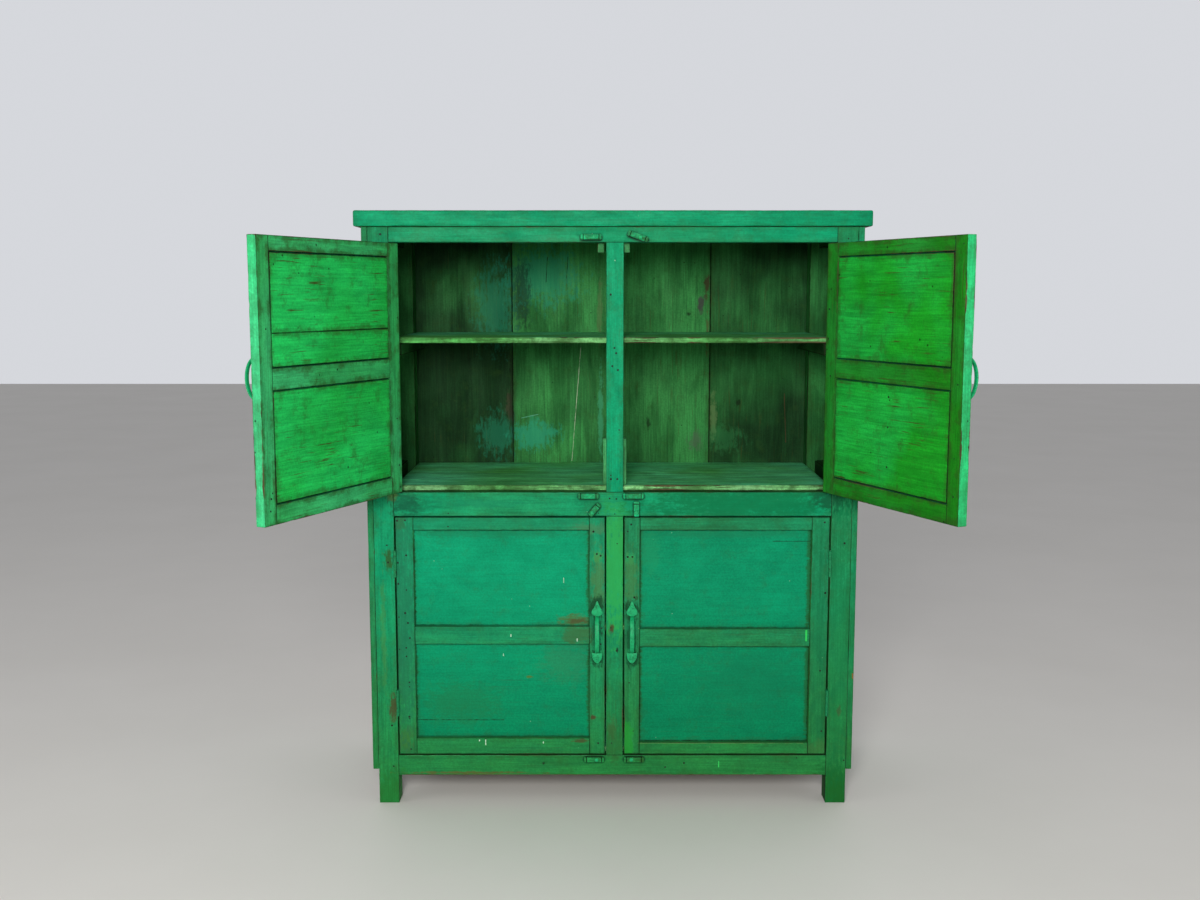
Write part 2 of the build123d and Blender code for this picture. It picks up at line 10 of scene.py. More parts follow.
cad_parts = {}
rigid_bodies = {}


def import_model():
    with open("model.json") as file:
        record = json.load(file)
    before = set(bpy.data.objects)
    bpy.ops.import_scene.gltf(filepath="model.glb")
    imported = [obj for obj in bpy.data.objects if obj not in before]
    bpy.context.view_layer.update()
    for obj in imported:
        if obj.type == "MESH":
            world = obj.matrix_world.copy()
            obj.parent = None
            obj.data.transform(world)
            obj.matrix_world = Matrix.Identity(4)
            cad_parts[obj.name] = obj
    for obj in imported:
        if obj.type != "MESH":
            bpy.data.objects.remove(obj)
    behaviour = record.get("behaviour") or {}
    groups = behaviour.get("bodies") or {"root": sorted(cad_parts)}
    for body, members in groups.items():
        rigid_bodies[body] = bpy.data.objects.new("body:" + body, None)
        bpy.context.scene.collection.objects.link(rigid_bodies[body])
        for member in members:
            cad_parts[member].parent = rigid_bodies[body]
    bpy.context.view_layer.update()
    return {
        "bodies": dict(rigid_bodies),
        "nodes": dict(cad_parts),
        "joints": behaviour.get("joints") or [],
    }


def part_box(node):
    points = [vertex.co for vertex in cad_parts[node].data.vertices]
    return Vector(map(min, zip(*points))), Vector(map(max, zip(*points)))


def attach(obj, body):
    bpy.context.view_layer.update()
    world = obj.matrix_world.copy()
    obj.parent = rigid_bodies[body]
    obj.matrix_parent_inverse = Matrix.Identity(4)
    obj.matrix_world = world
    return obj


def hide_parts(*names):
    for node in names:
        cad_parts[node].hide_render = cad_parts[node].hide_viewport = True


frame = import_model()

bl_info = {
    "name": "Painted pantry cabinet",
    "version": (1, 0, 0),
    "blender": (4, 5, 0),
    "location": "View3D > Sidebar > Cabinet",
    "description": "Makes the worn timber, the painted ironwork and the paint of an old green pantry cabinet",
    "category": "Object",
}

MM = 0.001
DOORS = ("door_upper_left", "door_upper_right", "door_lower_left", "door_lower_right")


# ---------------------------------------------------------------- measuring the frame

def tint(code):
    """A linear colour from a six-figure display code."""
    parts = [int(code[i:i + 2], 16) / 255 for i in (0, 2, 4)]
    return tuple(c / 12.92 if c <= 0.04045 else ((c + 0.055) / 1.055) ** 2.4 for c in parts)


def joint_of(body):
    """The joint that carries a body."""
    return next(joint for joint in frame["joints"] if joint["child"] == body)


def shut(body):
    """The matrix that takes a door from where it stands to its closed place."""
    if body not in DOORS:
        return Matrix.Identity(4)
    joint = joint_of(body)
    pivot = Matrix.Translation(Vector(joint["pos_m"]))
    turn = Matrix.Rotation(math.radians(joint["range_deg"][0]), 4, Vector(joint["axis"]))
    return pivot @ turn @ pivot.inverted()


def solids(node, matrix=None):
    """The (low, high) corners of each separate solid of a CAD node, ordered by height and then across."""
    merged = bmesh.new()
    merged.from_mesh(frame["nodes"][node].data)
    bmesh.ops.remove_doubles(merged, verts=merged.verts, dist=0.01 * MM)
    if matrix:
        bmesh.ops.transform(merged, matrix=matrix, verts=merged.verts)
    seen = set()
    boxes = []
    for start in merged.verts:
        if start.index in seen:
            continue
        seen.add(start.index)
        queue, island = [start], []
        while queue:
            vert = queue.pop()
            island.append(vert.co.copy())
            for edge in vert.link_edges:
                other = edge.other_vert(vert)
                if other.index not in seen:
                    seen.add(other.index)
                    queue.append(other)
        low = Vector([min(co[i] for co in island) for i in range(3)])
        high = Vector([max(co[i] for co in island) for i in range(3)])
        boxes.append((low, high))
    merged.free()
    boxes.sort(key=lambda box: (round(box[0].z, 3), round(box[0].x, 3), round(box[0].y, 3)))
    return boxes


# ---------------------------------------------------------------- worn timber

def wander(rng, places, waves, size):
    """A smooth random line: a few waves of different lengths, within plus or minus size."""
    line = np.zeros_like(places)
    for length in waves:
        line += np.sin(places * 2 * math.pi / length + rng.uniform(0, 2 * math.pi))
    return size * line / len(waves)


def stops(length, near, step):
    """Places from 0 to length: close together near both ends, and a step apart between them."""
    ends = [d for d in near if d < length / 2 - 0.2 * MM]
    inner = ends[-1] if ends else 0
    count = max(1, int(round((length - 2 * inner) / step)))
    middle = list(np.linspace(inner, length - inner, count + 1))[1:-1]
    return np.array([0, *ends, *middle, *[length - d for d in reversed(ends)], length])


# Distances from the ends and from the arrises at which a board has points, and the width between the rest.
END_STOPS = [0.3 * MM, 0.8 * MM, 2 * MM, 4.5 * MM, 9 * MM]
SIDE_STOPS = [1.0 * MM, 2.6 * MM, 6 * MM, 14 * MM]
SIDE_STEP = 40 * MM
# How deep the rings inside an end face lie, and how long the waves of the arrises and the faces are, in metres.
CAP_INSETS = (2.6, 8.0)
ARRIS_WAVES = (0.31, 0.13, 0.041, 0.017)
FACE_WAVES = (1.3, 0.57, 0.26)
# Smallest and largest dents along an arris, in mm.
DENT_SPREAD = (2.5, 9)
DENT_DEPTH = (0.5, 2.4)
HAIR = 0.02 * MM
DIAGONAL = 1 - math.sqrt(0.5)


class Timber:
    """Gathers boards into one mesh: rounded and chipped arrises, grain coordinates and paint slots."""

    def __init__(self, seed):
        self.rng = np.random.default_rng(seed)
        self.verts, self.faces, self.slots = [], [], []
        self.grain, self.rim, self.seam, self.tone = [], [], [], []
        self.count = 0

    def board(self, low, high, along, paints, arris=1.2, joint=0.0, chips=4.0, step=12.0, wave=0.25, tone=None):
        """Adds a board between two corners.

        along is the axis of the grain. paints gives the paint slot of each face, by name such as "-y",
        with "" for the rest. arris is a radius in mm. joint is the radius at ends that butt against other
        pieces, and 0 for free ends. chips is the number of dents per metre of arris, and wave is how far in
        mm the faces wander inwards.
        """
        rng = self.rng
        low, high = np.array(low), np.array(high)
        size = high - low
        others = [axis for axis in range(3) if axis != along]
        length = size[along]
        end_r = (joint or arris) * MM
        places = stops(length, END_STOPS, step * MM)
        sides = ((others[0], 1, others[1], 1), (others[1], 1, others[0], -1),
                 (others[0], -1, others[1], -1), (others[1], -1, others[0], 1))
        radii = []
        for _ in range(4):
            radius = arris * MM * (1 + wander(rng, places, ARRIS_WAVES, 0.4))
            for _ in range(rng.poisson(chips * length)):
                spot, spread = rng.uniform(0, length), rng.uniform(*DENT_SPREAD) * MM
                radius += rng.uniform(*DENT_DEPTH) * MM * np.exp(-((places - spot) / spread) ** 2)
            radii.append(np.clip(radius, 0.25 * MM, 0.3 * min(size[others[0]], size[others[1]])))
        inset = np.zeros_like(places)
        for index, place in enumerate(places):
            gap = min(place, length - place)
            if gap < end_r:
                inset[index] = end_r - math.sqrt(max(end_r ** 2 - (end_r - gap) ** 2, 0))
        end_gap = np.minimum(places, length - places)
        columns, rims, owners = [], [], []
        for side, (normal, n_sign, run, r_sign) in enumerate(sides):
            width = size[run]
            marks = stops(width, SIDE_STOPS, SIDE_STEP)[:-1]
            drift = wander(rng, places, FACE_WAVES, wave * MM) - wave * MM
            first, last = radii[side], radii[(side + 1) % 4]
            for order, mark in enumerate(marks):
                near = np.maximum(mark, first * DIAGONAL + HAIR * order)
                far = np.maximum(width - mark, last * DIAGONAL + HAIR * (len(marks) - order))
                sink = np.zeros_like(places)
                for radius, gap in ((first, near), (last, far)):
                    inside = np.clip(radius - gap, 0, None)
                    sink = np.maximum(sink, radius - np.sqrt(np.maximum(radius ** 2 - inside ** 2, 0)))
                spot = np.where(mark <= width / 2, near, width - far)
                if order == 0:
                    sink = spot = first * DIAGONAL
                fade = np.clip(np.minimum(near, far) / (5 * MM), 0, 1)
                point = np.zeros((len(places), 3))
                reach = size[normal] / 2 - sink + drift * fade - inset
                point[:, normal] = n_sign * reach
                squeeze = (width / 2 - inset) / (width / 2)
                point[:, run] = r_sign * (spot - width / 2) * squeeze
                point[:, along] = places - length / 2
                columns.append(point)
                side_gap = np.full(len(places), min(mark, width - mark))
                rims.append(side_gap if joint else np.minimum(side_gap, end_gap))
                owners.append(side)
        ring = len(columns)
        grid = np.stack(columns, axis=1)
        rim = np.stack(rims, axis=1)
        seams = np.repeat(end_gap if joint else np.ones(len(places)), ring)
        caps, cap_rims = [], []
        for end in (0, -1):
            for depth in CAP_INSETS:
                shrink = np.ones(3)
                for axis in others:
                    shrink[axis] = max(0.15, 1 - 2 * depth * MM / size[axis])
                caps.append(grid[end] * shrink)
                cap_rims.append(np.full(ring, min(depth * MM, 0.4 * min(size[others[0]], size[others[1]]))))
        points = np.concatenate([grid.reshape(-1, 3), *caps])
        rim = np.concatenate([rim.reshape(-1), *cap_rims])
        seams = np.concatenate([seams, *[np.ones(ring)] * len(caps)])
        names = {side: ("+" if sign > 0 else "-") + "xyz"[axis] for side, (axis, sign, _, _) in enumerate(sides)}
        plain = paints.get("", 0)
        turn = 1 if np.linalg.det(np.eye(3)[[others[0], others[1], along]]) > 0 else -1

        def face(corners, slot):
            self.faces.append([self.count + c for c in (corners if turn > 0 else reversed(corners))])
            self.slots.append(slot)

        rows = len(places)
        for row in range(rows - 1):
            for column in range(ring):
                after = (column + 1) % ring
                face((row * ring + column, row * ring + after, (row + 1) * ring + after,
                      (row + 1) * ring + column), paints.get(names[owners[column]], plain))
        base = rows * ring
        for end, (edge_row, first_cap, sign) in enumerate(((0, base, "-"), (rows - 1, base + 2 * ring, "+"))):
            slot = paints.get(sign + "xyz"[along], plain)
            rings = (edge_row * ring, first_cap, first_cap + ring)
            for outer, inner in zip(rings, rings[1:]):
                for column in range(ring):
                    after = (column + 1) % ring
                    corners = (outer + column, inner + column, inner + after, outer + after)
                    face(corners if end == 0 else tuple(reversed(corners)), slot)
            cap = [rings[-1] + column for column in range(ring)]
            face(tuple(reversed(cap)) if end == 0 else tuple(cap), slot)
        offset = rng.uniform(-40, 40, 3)
        self.grain.append(points[:, [along, others[0], others[1]]] + offset)
        self.rim.append(rim)
        self.seam.append(seams)
        self.tone.append(np.full(len(points), rng.uniform(-1, 1) if tone is None else tone))
        self.verts.append(points + (low + high) / 2)
        self.count += len(points)

    def finish(self, name, body, nodes, slot, paints, matrix=None):
        """Makes the mesh object, smooth but for its flat faces, and hands it to the frame."""
        mesh = bpy.data.meshes.new(name)
        mesh.from_pydata(np.concatenate(self.verts).tolist(), [], self.faces)
        for paint in paints:
            mesh.materials.append(material(paint))
        mesh.polygons.foreach_set("material_index", self.slots)
        carry(mesh, "grain", np.concatenate(self.grain), "FLOAT_VECTOR")
        for label in ("rim", "seam", "tone"):
            carry(mesh, label, np.concatenate(getattr(self, label)))
        if matrix:
            mesh.transform(matrix)
        mesh.validate()
        mesh.update()
        piece = put(name, mesh)
        mesh.shade_smooth()
        settle(piece, body, nodes)
        return piece


def put(name, data):
    """A new object in the scene."""
    piece = bpy.data.objects.new(name, data)
    bpy.context.scene.collection.objects.link(piece)
    return piece


def carry(mesh, label, values, kind="FLOAT"):
    """Gives each point of a mesh its value of an attribute."""
    layer = mesh.attributes.new(label, kind, "POINT")
    layer.data.foreach_set("vector" if kind == "FLOAT_VECTOR" else "value",
                           np.array(values, np.float32).reshape(-1))


def settle(piece, body, nodes):
    """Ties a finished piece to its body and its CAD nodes."""
    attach(piece, body)
    if nodes:
        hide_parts(*nodes)


# ---------------------------------------------------------------- materials

made = {}


def add(tree, kind, inputs=None, **settings):
    """A shader node with its settings, and its inputs either set or linked."""
    new = tree.nodes.new(kind)
    for key, value in settings.items():
        setattr(new, key, value)
    for key, value in (inputs or {}).items():
        if isinstance(value, bpy.types.NodeSocket):
            tree.links.new(value, new.inputs[key])
        else:
            new.inputs[key].default_value = value
    return new


def vectors(tree, operation, first, second=(0, 0, 0), output=0):
    """Arithmetic on two vectors. Output 0 is the vector that it gives, and 1 the value."""
    return add(tree, "ShaderNodeVectorMath", {0: first, 1: second}, operation=operation).outputs[output]


def noise(tree, vector, scale, detail=3.0, roughness=0.55, distortion=0.0):
    """Noise about 0.5 on the given coordinates, with the given number of lumps per metre or along each axis."""
    if isinstance(scale, tuple):
        vector = vectors(tree, "MULTIPLY", vector, scale)
        scale = 1.0
    return add(tree, "ShaderNodeTexNoise", {"Vector": vector, "Scale": scale, "Detail": detail,
               "Roughness": roughness, "Distortion": distortion}).outputs[0]


def ramp(tree, value, low, high, out_low=0.0, out_high=1.0):
    """A smooth step from out_low at low to out_high at high."""
    return add(tree, "ShaderNodeMapRange", {"Value": value, "From Min": low, "From Max": high,
               "To Min": out_low, "To Max": out_high}, interpolation_type="SMOOTHSTEP").outputs[0]


def calc(tree, operation, first, second):
    """Arithmetic on two values."""
    return add(tree, "ShaderNodeMath", {0: first, 1: second}, operation=operation).outputs[0]


def product(tree, *values):
    """Several values multiplied together."""
    result = values[0]
    for value in values[1:]:
        result = calc(tree, "MULTIPLY", result, value)
    return result


def blend(tree, share, first, second):
    """The second colour over the first."""
    first = first if isinstance(first, bpy.types.NodeSocket) else (*first, 1.0)
    second = second if isinstance(second, bpy.types.NodeSocket) else (*second, 1.0)
    return add(tree, "ShaderNodeMix", {0: share, 6: first, 7: second}, data_type="RGBA").outputs[2]


def shade(tree, colour, value):
    """A colour made lighter or darker, or a vector made longer or shorter, by a factor."""
    return add(tree, "ShaderNodeVectorMath", {0: colour, 3: value}, operation="SCALE").outputs[0]


def blotch(tree, place, torn, centre, radii):
    """How far a point lies inside a torn oval about a centre, from 0 to 1."""
    scaled = vectors(tree, "DIVIDE", vectors(tree, "SUBTRACT", place, centre), radii)
    length = vectors(tree, "LENGTH", scaled, output=1)
    return ramp(tree, calc(tree, "ADD", length, torn), 1.4, 0.5)


def thin_line(tree, place, ragged, begin, end, width):
    """How far a point lies inside a thin wandering line between two points, from 0 to 1."""
    begin, end = Vector(begin), Vector(end)
    run = end - begin
    away = vectors(tree, "SUBTRACT", place, begin)
    share = vectors(tree, "DOT_PRODUCT", away, run / run.length_squared, output=1)
    share = add(tree, "ShaderNodeClamp", {0: share}).outputs[0]
    gap = vectors(tree, "DISTANCE", away, shade(tree, run, share), output=1)
    gap = calc(tree, "ADD", gap, product(tree, ragged, 2.5 * MM))
    return ramp(tree, calc(tree, "ABSOLUTE", gap, 0.0), width, 0.4 * width)


def start_material(name):
    """An empty material with its shader and output joined."""
    new = bpy.data.materials.new(name)
    new.use_nodes = True
    tree = new.node_tree
    tree.nodes.clear()
    shader = add(tree, "ShaderNodeBsdfPrincipled")
    output = add(tree, "ShaderNodeOutputMaterial")
    tree.links.new(shader.outputs[0], output.inputs[0])
    return new, tree, shader


def surface(tree, shader, colour, roughness, relief, strength, distance):
    """Joins colour, roughness and relief to the shader."""
    tree.links.new(colour, shader.inputs["Base Color"])
    tree.links.new(roughness, shader.inputs["Roughness"])
    bump = add(tree, "ShaderNodeBump", {"Height": relief, "Strength": strength, "Distance": distance})
    tree.links.new(bump.outputs[0], shader.inputs["Normal"])


def coordinates(tree):
    """The place on the piece, and the grain, rim, seam and tone that its mesh carries."""
    place = add(tree, "ShaderNodeTexCoord").outputs["Object"]
    grain = add(tree, "ShaderNodeAttribute", attribute_name="grain").outputs["Vector"]
    values = [add(tree, "ShaderNodeAttribute", attribute_name=label).outputs["Fac"]
              for label in ("rim", "seam", "tone")]
    return place, grain, *values


# Near-black green for dirt, nail holes, splits and dark joints, and also for painted shade along the edges, round the
# panels and on the turn buttons' sides.
DIRT_AND_SHADE = tint("0f140a")
OLIVE = tint("2a4a1a")
RUST_BROWN = tint("46341f")
FLECK = tint("b9d8bd")
# Dark green painted shadow, with dirt, round the handles' spades and under their bows.
SHADOW_AND_DIRT = tint("0b3d22")
TEAR = 2.6
PAINT_SHINE = 0.07
IRON_SHINE = 0.25


def old_paint(name, main, second, low, bare, wear=0.5, edge_dirt_and_shade=0.3, edge_width=1.2, fibre=0.12, figure=0.1,
              mottle=0.14, clouds=(11, 26, 26), dirt=0.3, scores=0.2, holes=0.0, flecks=0.0, roughness=0.5,
              marks=(), thin_lines=()):
    """Old brushed paint over timber.

    main and second are its two greens, and low its darker colour near the floor, which paints shade there. wear is
    how much bare timber shows along the arrises, and edge_dirt_and_shade how much dirt and painted shade lies there
    instead, also round the sunk panels, edge_width in mm. fibre, figure and mottle are contrasts of fine streaks,
    broad grain and patches, and clouds how many patches there are per metre along and across the grain. dirt, scores,
    holes and flecks are how much of each there is. marks are (centre, radii, colour, share), and thin_lines are
    (begin, end, width, colour); among them are stains and worn lines, and also painted shadows and highlights.
    """
    new, tree, shader = start_material(name)
    place, grain, rim, seam, tone = coordinates(tree)
    height = add(tree, "ShaderNodeSeparateXYZ", {0: place}).outputs[2]
    patches = noise(tree, place, 2.6, 3.0, 0.6)
    areas = noise(tree, place, 7.0, 4.0, 0.6)
    mottling = noise(tree, grain, clouds, 5.0, 0.62, 0.6)
    figuring = noise(tree, grain, (2.6, 46, 46), 4.0, 0.6, 1.3)
    fibres = noise(tree, grain, (12, 330, 330), 4.0, 0.62)
    brush = noise(tree, grain, (5, 780, 780), 2.0, 0.5)
    ragged = calc(tree, "SUBTRACT", noise(tree, grain, (60, 170, 170), 4.0, 0.65), 0.5)
    torn = calc(tree, "SUBTRACT", noise(tree, place, 38.0, 6.0, 0.75), 0.5)
    torn = calc(tree, "ADD", product(tree, torn, TEAR), product(tree, ragged, TEAR))
    weave = noise(tree, place, 230.0, 3.0, 0.65)

    share = calc(tree, "ADD", product(tree, tone, 0.5), ramp(tree, patches, 0.32, 0.68, 0.1, 0.9))
    colour = blend(tree, share, main, second)
    # Darker, greener paint towards the floor: a painted shade.
    floor_shade_share = ramp(tree, calc(tree, "ADD", height, product(tree, mottling, 0.4)), 0.8, 0.2, 0.0, 0.85)
    colour = blend(tree, floor_shade_share, colour, low)
    colour = shade(tree, colour, ramp(tree, mottling, 0.3, 0.7, 1 + mottle, 1 - mottle))
    colour = shade(tree, colour, ramp(tree, fibres, 0.32, 0.68, 1 + fibre, 1 - fibre))
    colour = shade(tree, colour, ramp(tree, figuring, 0.36, 0.66, 1 + 0.5 * figure, 1 - figure))
    colour = shade(tree, colour, ramp(tree, weave, 0.32, 0.68, 1.1, 0.88))

    corner = ramp(tree, rim, 16 * MM, 1 * MM, 0.0, 0.14)
    film = ramp(tree, calc(tree, "ADD", noise(tree, place, 24.0, 8.0, 0.76), corner), 0.5, 0.72, 0.0, dirt)
    colour = blend(tree, film, colour, OLIVE)
    lines = noise(tree, grain, (10, 230, 230), 4.0, 0.62)
    scored = product(tree, ramp(tree, lines, 0.585, 0.66), ramp(tree, areas, 0.42, 0.6), scores)
    colour = blend(tree, scored, colour, tint("39411a"))

    if holes:
        cells = add(tree, "ShaderNodeTexVoronoi", {"Vector": grain, "Scale": 26.0}).outputs[0]
        spot = ramp(tree, calc(tree, "ADD", cells, product(tree, ragged, 0.08)), 0.09 * holes, 0.045 * holes)
        colour = blend(tree, product(tree, spot, 0.85), colour, DIRT_AND_SHADE)
    if flecks:
        cells = add(tree, "ShaderNodeTexVoronoi", {"Vector": place, "Scale": 31.0}).outputs[0]
        spot = product(tree, ramp(tree, cells, 0.05, 0.03), ramp(tree, areas, 0.5, 0.53), flecks)
        colour = blend(tree, spot, colour, FLECK)
    # Stains, flecks and worn lines, and also painted shadows round the handles and turn buttons, painted shade in the
    # panel recesses and painted highlights on rail arrises.
    for centre, radii, mark_colour, amount in marks:
        colour = blend(tree, product(tree, blotch(tree, place, torn, centre, radii), amount), colour, mark_colour)
    for begin, end, width, mark_colour in thin_lines:
        colour = blend(tree, thin_line(tree, place, ragged, begin, end, width), colour, mark_colour)

    # Lighter paint along the arrises: partly worn paint, partly a painted highlight.
    pale_wear_and_highlight = product(tree, ramp(tree, rim, 1.7 * MM, 0.3 * MM), ramp(tree, areas, 0.4, 0.6), 0.55 * (1 - edge_dirt_and_shade))
    colour = blend(tree, pale_wear_and_highlight, colour, tuple(min(1.0, c * 1.7 + 0.03) for c in second))
    frayed = calc(tree, "ADD", rim, product(tree, ragged, 4 * MM))
    reach = ramp(tree, areas, 0.46, 0.68, -1.3 * MM, 3.4 * wear * MM)
    bared = ramp(tree, calc(tree, "SUBTRACT", frayed, reach), 0.3 * MM, -0.3 * MM)
    timber = blend(tree, ramp(tree, fibres, 0.38, 0.66), bare, tuple(c * 0.35 for c in bare))
    colour = blend(tree, bared, colour, timber)
    # Dark paint along the arrises: dirt, and painted shade where the panels sink under the frames and on the turn
    # buttons' sides.
    creep = calc(tree, "ADD", rim, product(tree, ragged, 1.5 * edge_width * MM))
    grime_and_shade = product(tree, ramp(tree, creep, 1.3 * edge_width * MM, 0.2 * edge_width * MM),
                     ramp(tree, patches, 0.3, 0.55, 0.5 * edge_dirt_and_shade, edge_dirt_and_shade))
    joint = ramp(tree, calc(tree, "ADD", seam, product(tree, ragged, 1.2 * MM)), 1.5 * MM, 0.3 * MM, 0.0, 0.85)
    colour = blend(tree, calc(tree, "MAXIMUM", grime_and_shade, joint), colour, DIRT_AND_SHADE)

    gloss = ramp(tree, mottling, 0.3, 0.7, roughness - 0.07, roughness + 0.12)
    relief = calc(tree, "ADD", product(tree, brush, 0.4), product(tree, fibres, 2.2 * fibre))
    relief = calc(tree, "ADD", relief, product(tree, figuring, 2.0 * figure))
    relief = calc(tree, "SUBTRACT", relief, calc(tree, "ADD", bared, scored))
    dull = product(tree, calc(tree, "MAXIMUM", bared, calc(tree, "MAXIMUM", grime_and_shade, joint)), 0.35)
    surface(tree, shader, colour, calc(tree, "ADD", gloss, dull), relief, 0.5, 0.4 * MM)
    shader.inputs["Specular IOR Level"].default_value = PAINT_SHINE
    return new


def bare_timber(name, light, dark):
    """Unpainted old timber, for the faces that nobody paints."""
    new, tree, shader = start_material(name)
    place, grain, rim, _, tone = coordinates(tree)
    figuring = noise(tree, grain, (1.8, 34, 34), 5.0, 0.6, 1.6)
    fibres = noise(tree, grain, (12, 520, 520), 3.0, 0.6)
    stains = noise(tree, place, 5.0, 5.0, 0.65)
    colour = blend(tree, calc(tree, "ADD", ramp(tree, figuring, 0.35, 0.65), product(tree, tone, 0.25)), light, dark)
    colour = shade(tree, colour, ramp(tree, fibres, 0.35, 0.7, 1.15, 0.7))
    colour = blend(tree, ramp(tree, stains, 0.48, 0.7, 0.0, 0.6), colour, tint("57493a"))
    colour = blend(tree, ramp(tree, rim, 2.5 * MM, 0.0, 0.0, 0.6), colour, tint("2b2118"))
    relief = calc(tree, "ADD", product(tree, fibres, 0.6), product(tree, figuring, 0.9))
    surface(tree, shader, colour, ramp(tree, stains, 0.3, 0.7, 0.74, 0.9), relief, 0.7, 0.5 * MM)
    return new


def painted_iron(name, main, rust, amount, roughness):
    """Forged iron under thick green paint, with dark rust where it has come off."""
    new, tree, shader = start_material(name)
    place = add(tree, "ShaderNodeTexCoord").outputs["Object"]
    lumps = noise(tree, place, 150.0, 4.0, 0.6)
    spots = noise(tree, place, 70.0, 5.0, 0.7)
    colour = blend(tree, ramp(tree, lumps, 0.4, 0.75), main, tuple(c * 0.6 for c in main))
    rusty = ramp(tree, spots, 0.60 - 0.1 * amount, 0.67 - 0.1 * amount)
    colour = blend(tree, product(tree, rusty, min(1.0, amount * 2)), colour, rust)
    relief = calc(tree, "SUBTRACT", lumps, product(tree, rusty, 0.4))
    surface(tree, shader, colour, ramp(tree, spots, 0.3, 0.7, roughness - 0.08, roughness + 0.25), relief, 0.5,
            0.4 * MM)
    shader.inputs["Specular IOR Level"].default_value = IRON_SHINE
    return new


# How far inside a turn button's ends its shadow's line stops, how far below it lies, and the line's width.
BUTTON_END = 6 * MM
SHADOW_DROP = 2.2 * MM
SHADOW_WIDTH = 12.5 * MM


def button_shadows():
    """The dirt and shadow round each turn button, as thick lines along them."""
    lines = []
    for body in frame["bodies"]:
        if body.startswith("turn_button"):
            pivot = Vector(joint_of(body)["pos_m"])
            arms = np.array([tuple(vert.co - pivot) for vert in frame["nodes"][body].data.vertices])[:, [0, 2]]
            along = np.linalg.eigh(np.cov(arms.T))[1][:, 1]
            reach = arms @ along
            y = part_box("post_front_left")[0].y
            tips = [(pivot.x + along[0] * far, y, pivot.z - SHADOW_DROP + along[1] * far)
                    for far in (reach.min() + BUTTON_END, reach.max() - BUTTON_END)]
            lines.append((*tips, SHADOW_WIDTH, tint("05301c")))
    return lines


def colour_of(code):
    """A named colour as it is, or the colour of a display code."""
    return tint(code) if isinstance(code, str) else code


def stains_and_shades_of(finish):
    """The stains and painted shadows of a finish as (centre, radii, colour, share)."""
    if finish not in STAINS_AND_SHADES:
        return ()
    node, behind, deep, rows = STAINS_AND_SHADES[finish]
    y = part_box(node)[0].y + behind * MM
    return [((x * MM, y, z * MM), (wide * MM, deep * MM, tall * MM), colour_of(code), share)
            for x, z, wide, tall, code, share in rows]


def lines_of(finish):
    """The thin lines of a finish as (begin, end, width, colour), worn lines and painted highlights among them, after
    the turn buttons' painted shadows on the rails.
    """
    if finish not in LINES:
        return ()
    node, behind, rows = LINES[finish]
    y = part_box(node)[0].y + behind * MM
    return [*(button_shadows() if finish == "front_paint" else ()),
            *[((x * MM, y, z * MM), (to_x * MM, y, to_z * MM), width * MM, colour_of(code))
              for x, z, to_x, to_z, width, code in rows]]


INSIDE_WEAR = {"wear": 0.35, "edge_dirt_and_shade": 0.95, "edge_width": 2.2, "fibre": 0.18, "figure": 0.16, "mottle": 0.28,
               "clouds": (5, 16, 16), "dirt": 0.4, "scores": 0.5, "holes": 0.6, "roughness": 0.6}
BACK_WEAR = {"wear": 0.6, "edge_dirt_and_shade": 0.7, "edge_width": 1.6, "fibre": 0.16, "figure": 0.14, "dirt": 0.7,
             "scores": 0.75, "holes": 0.9}
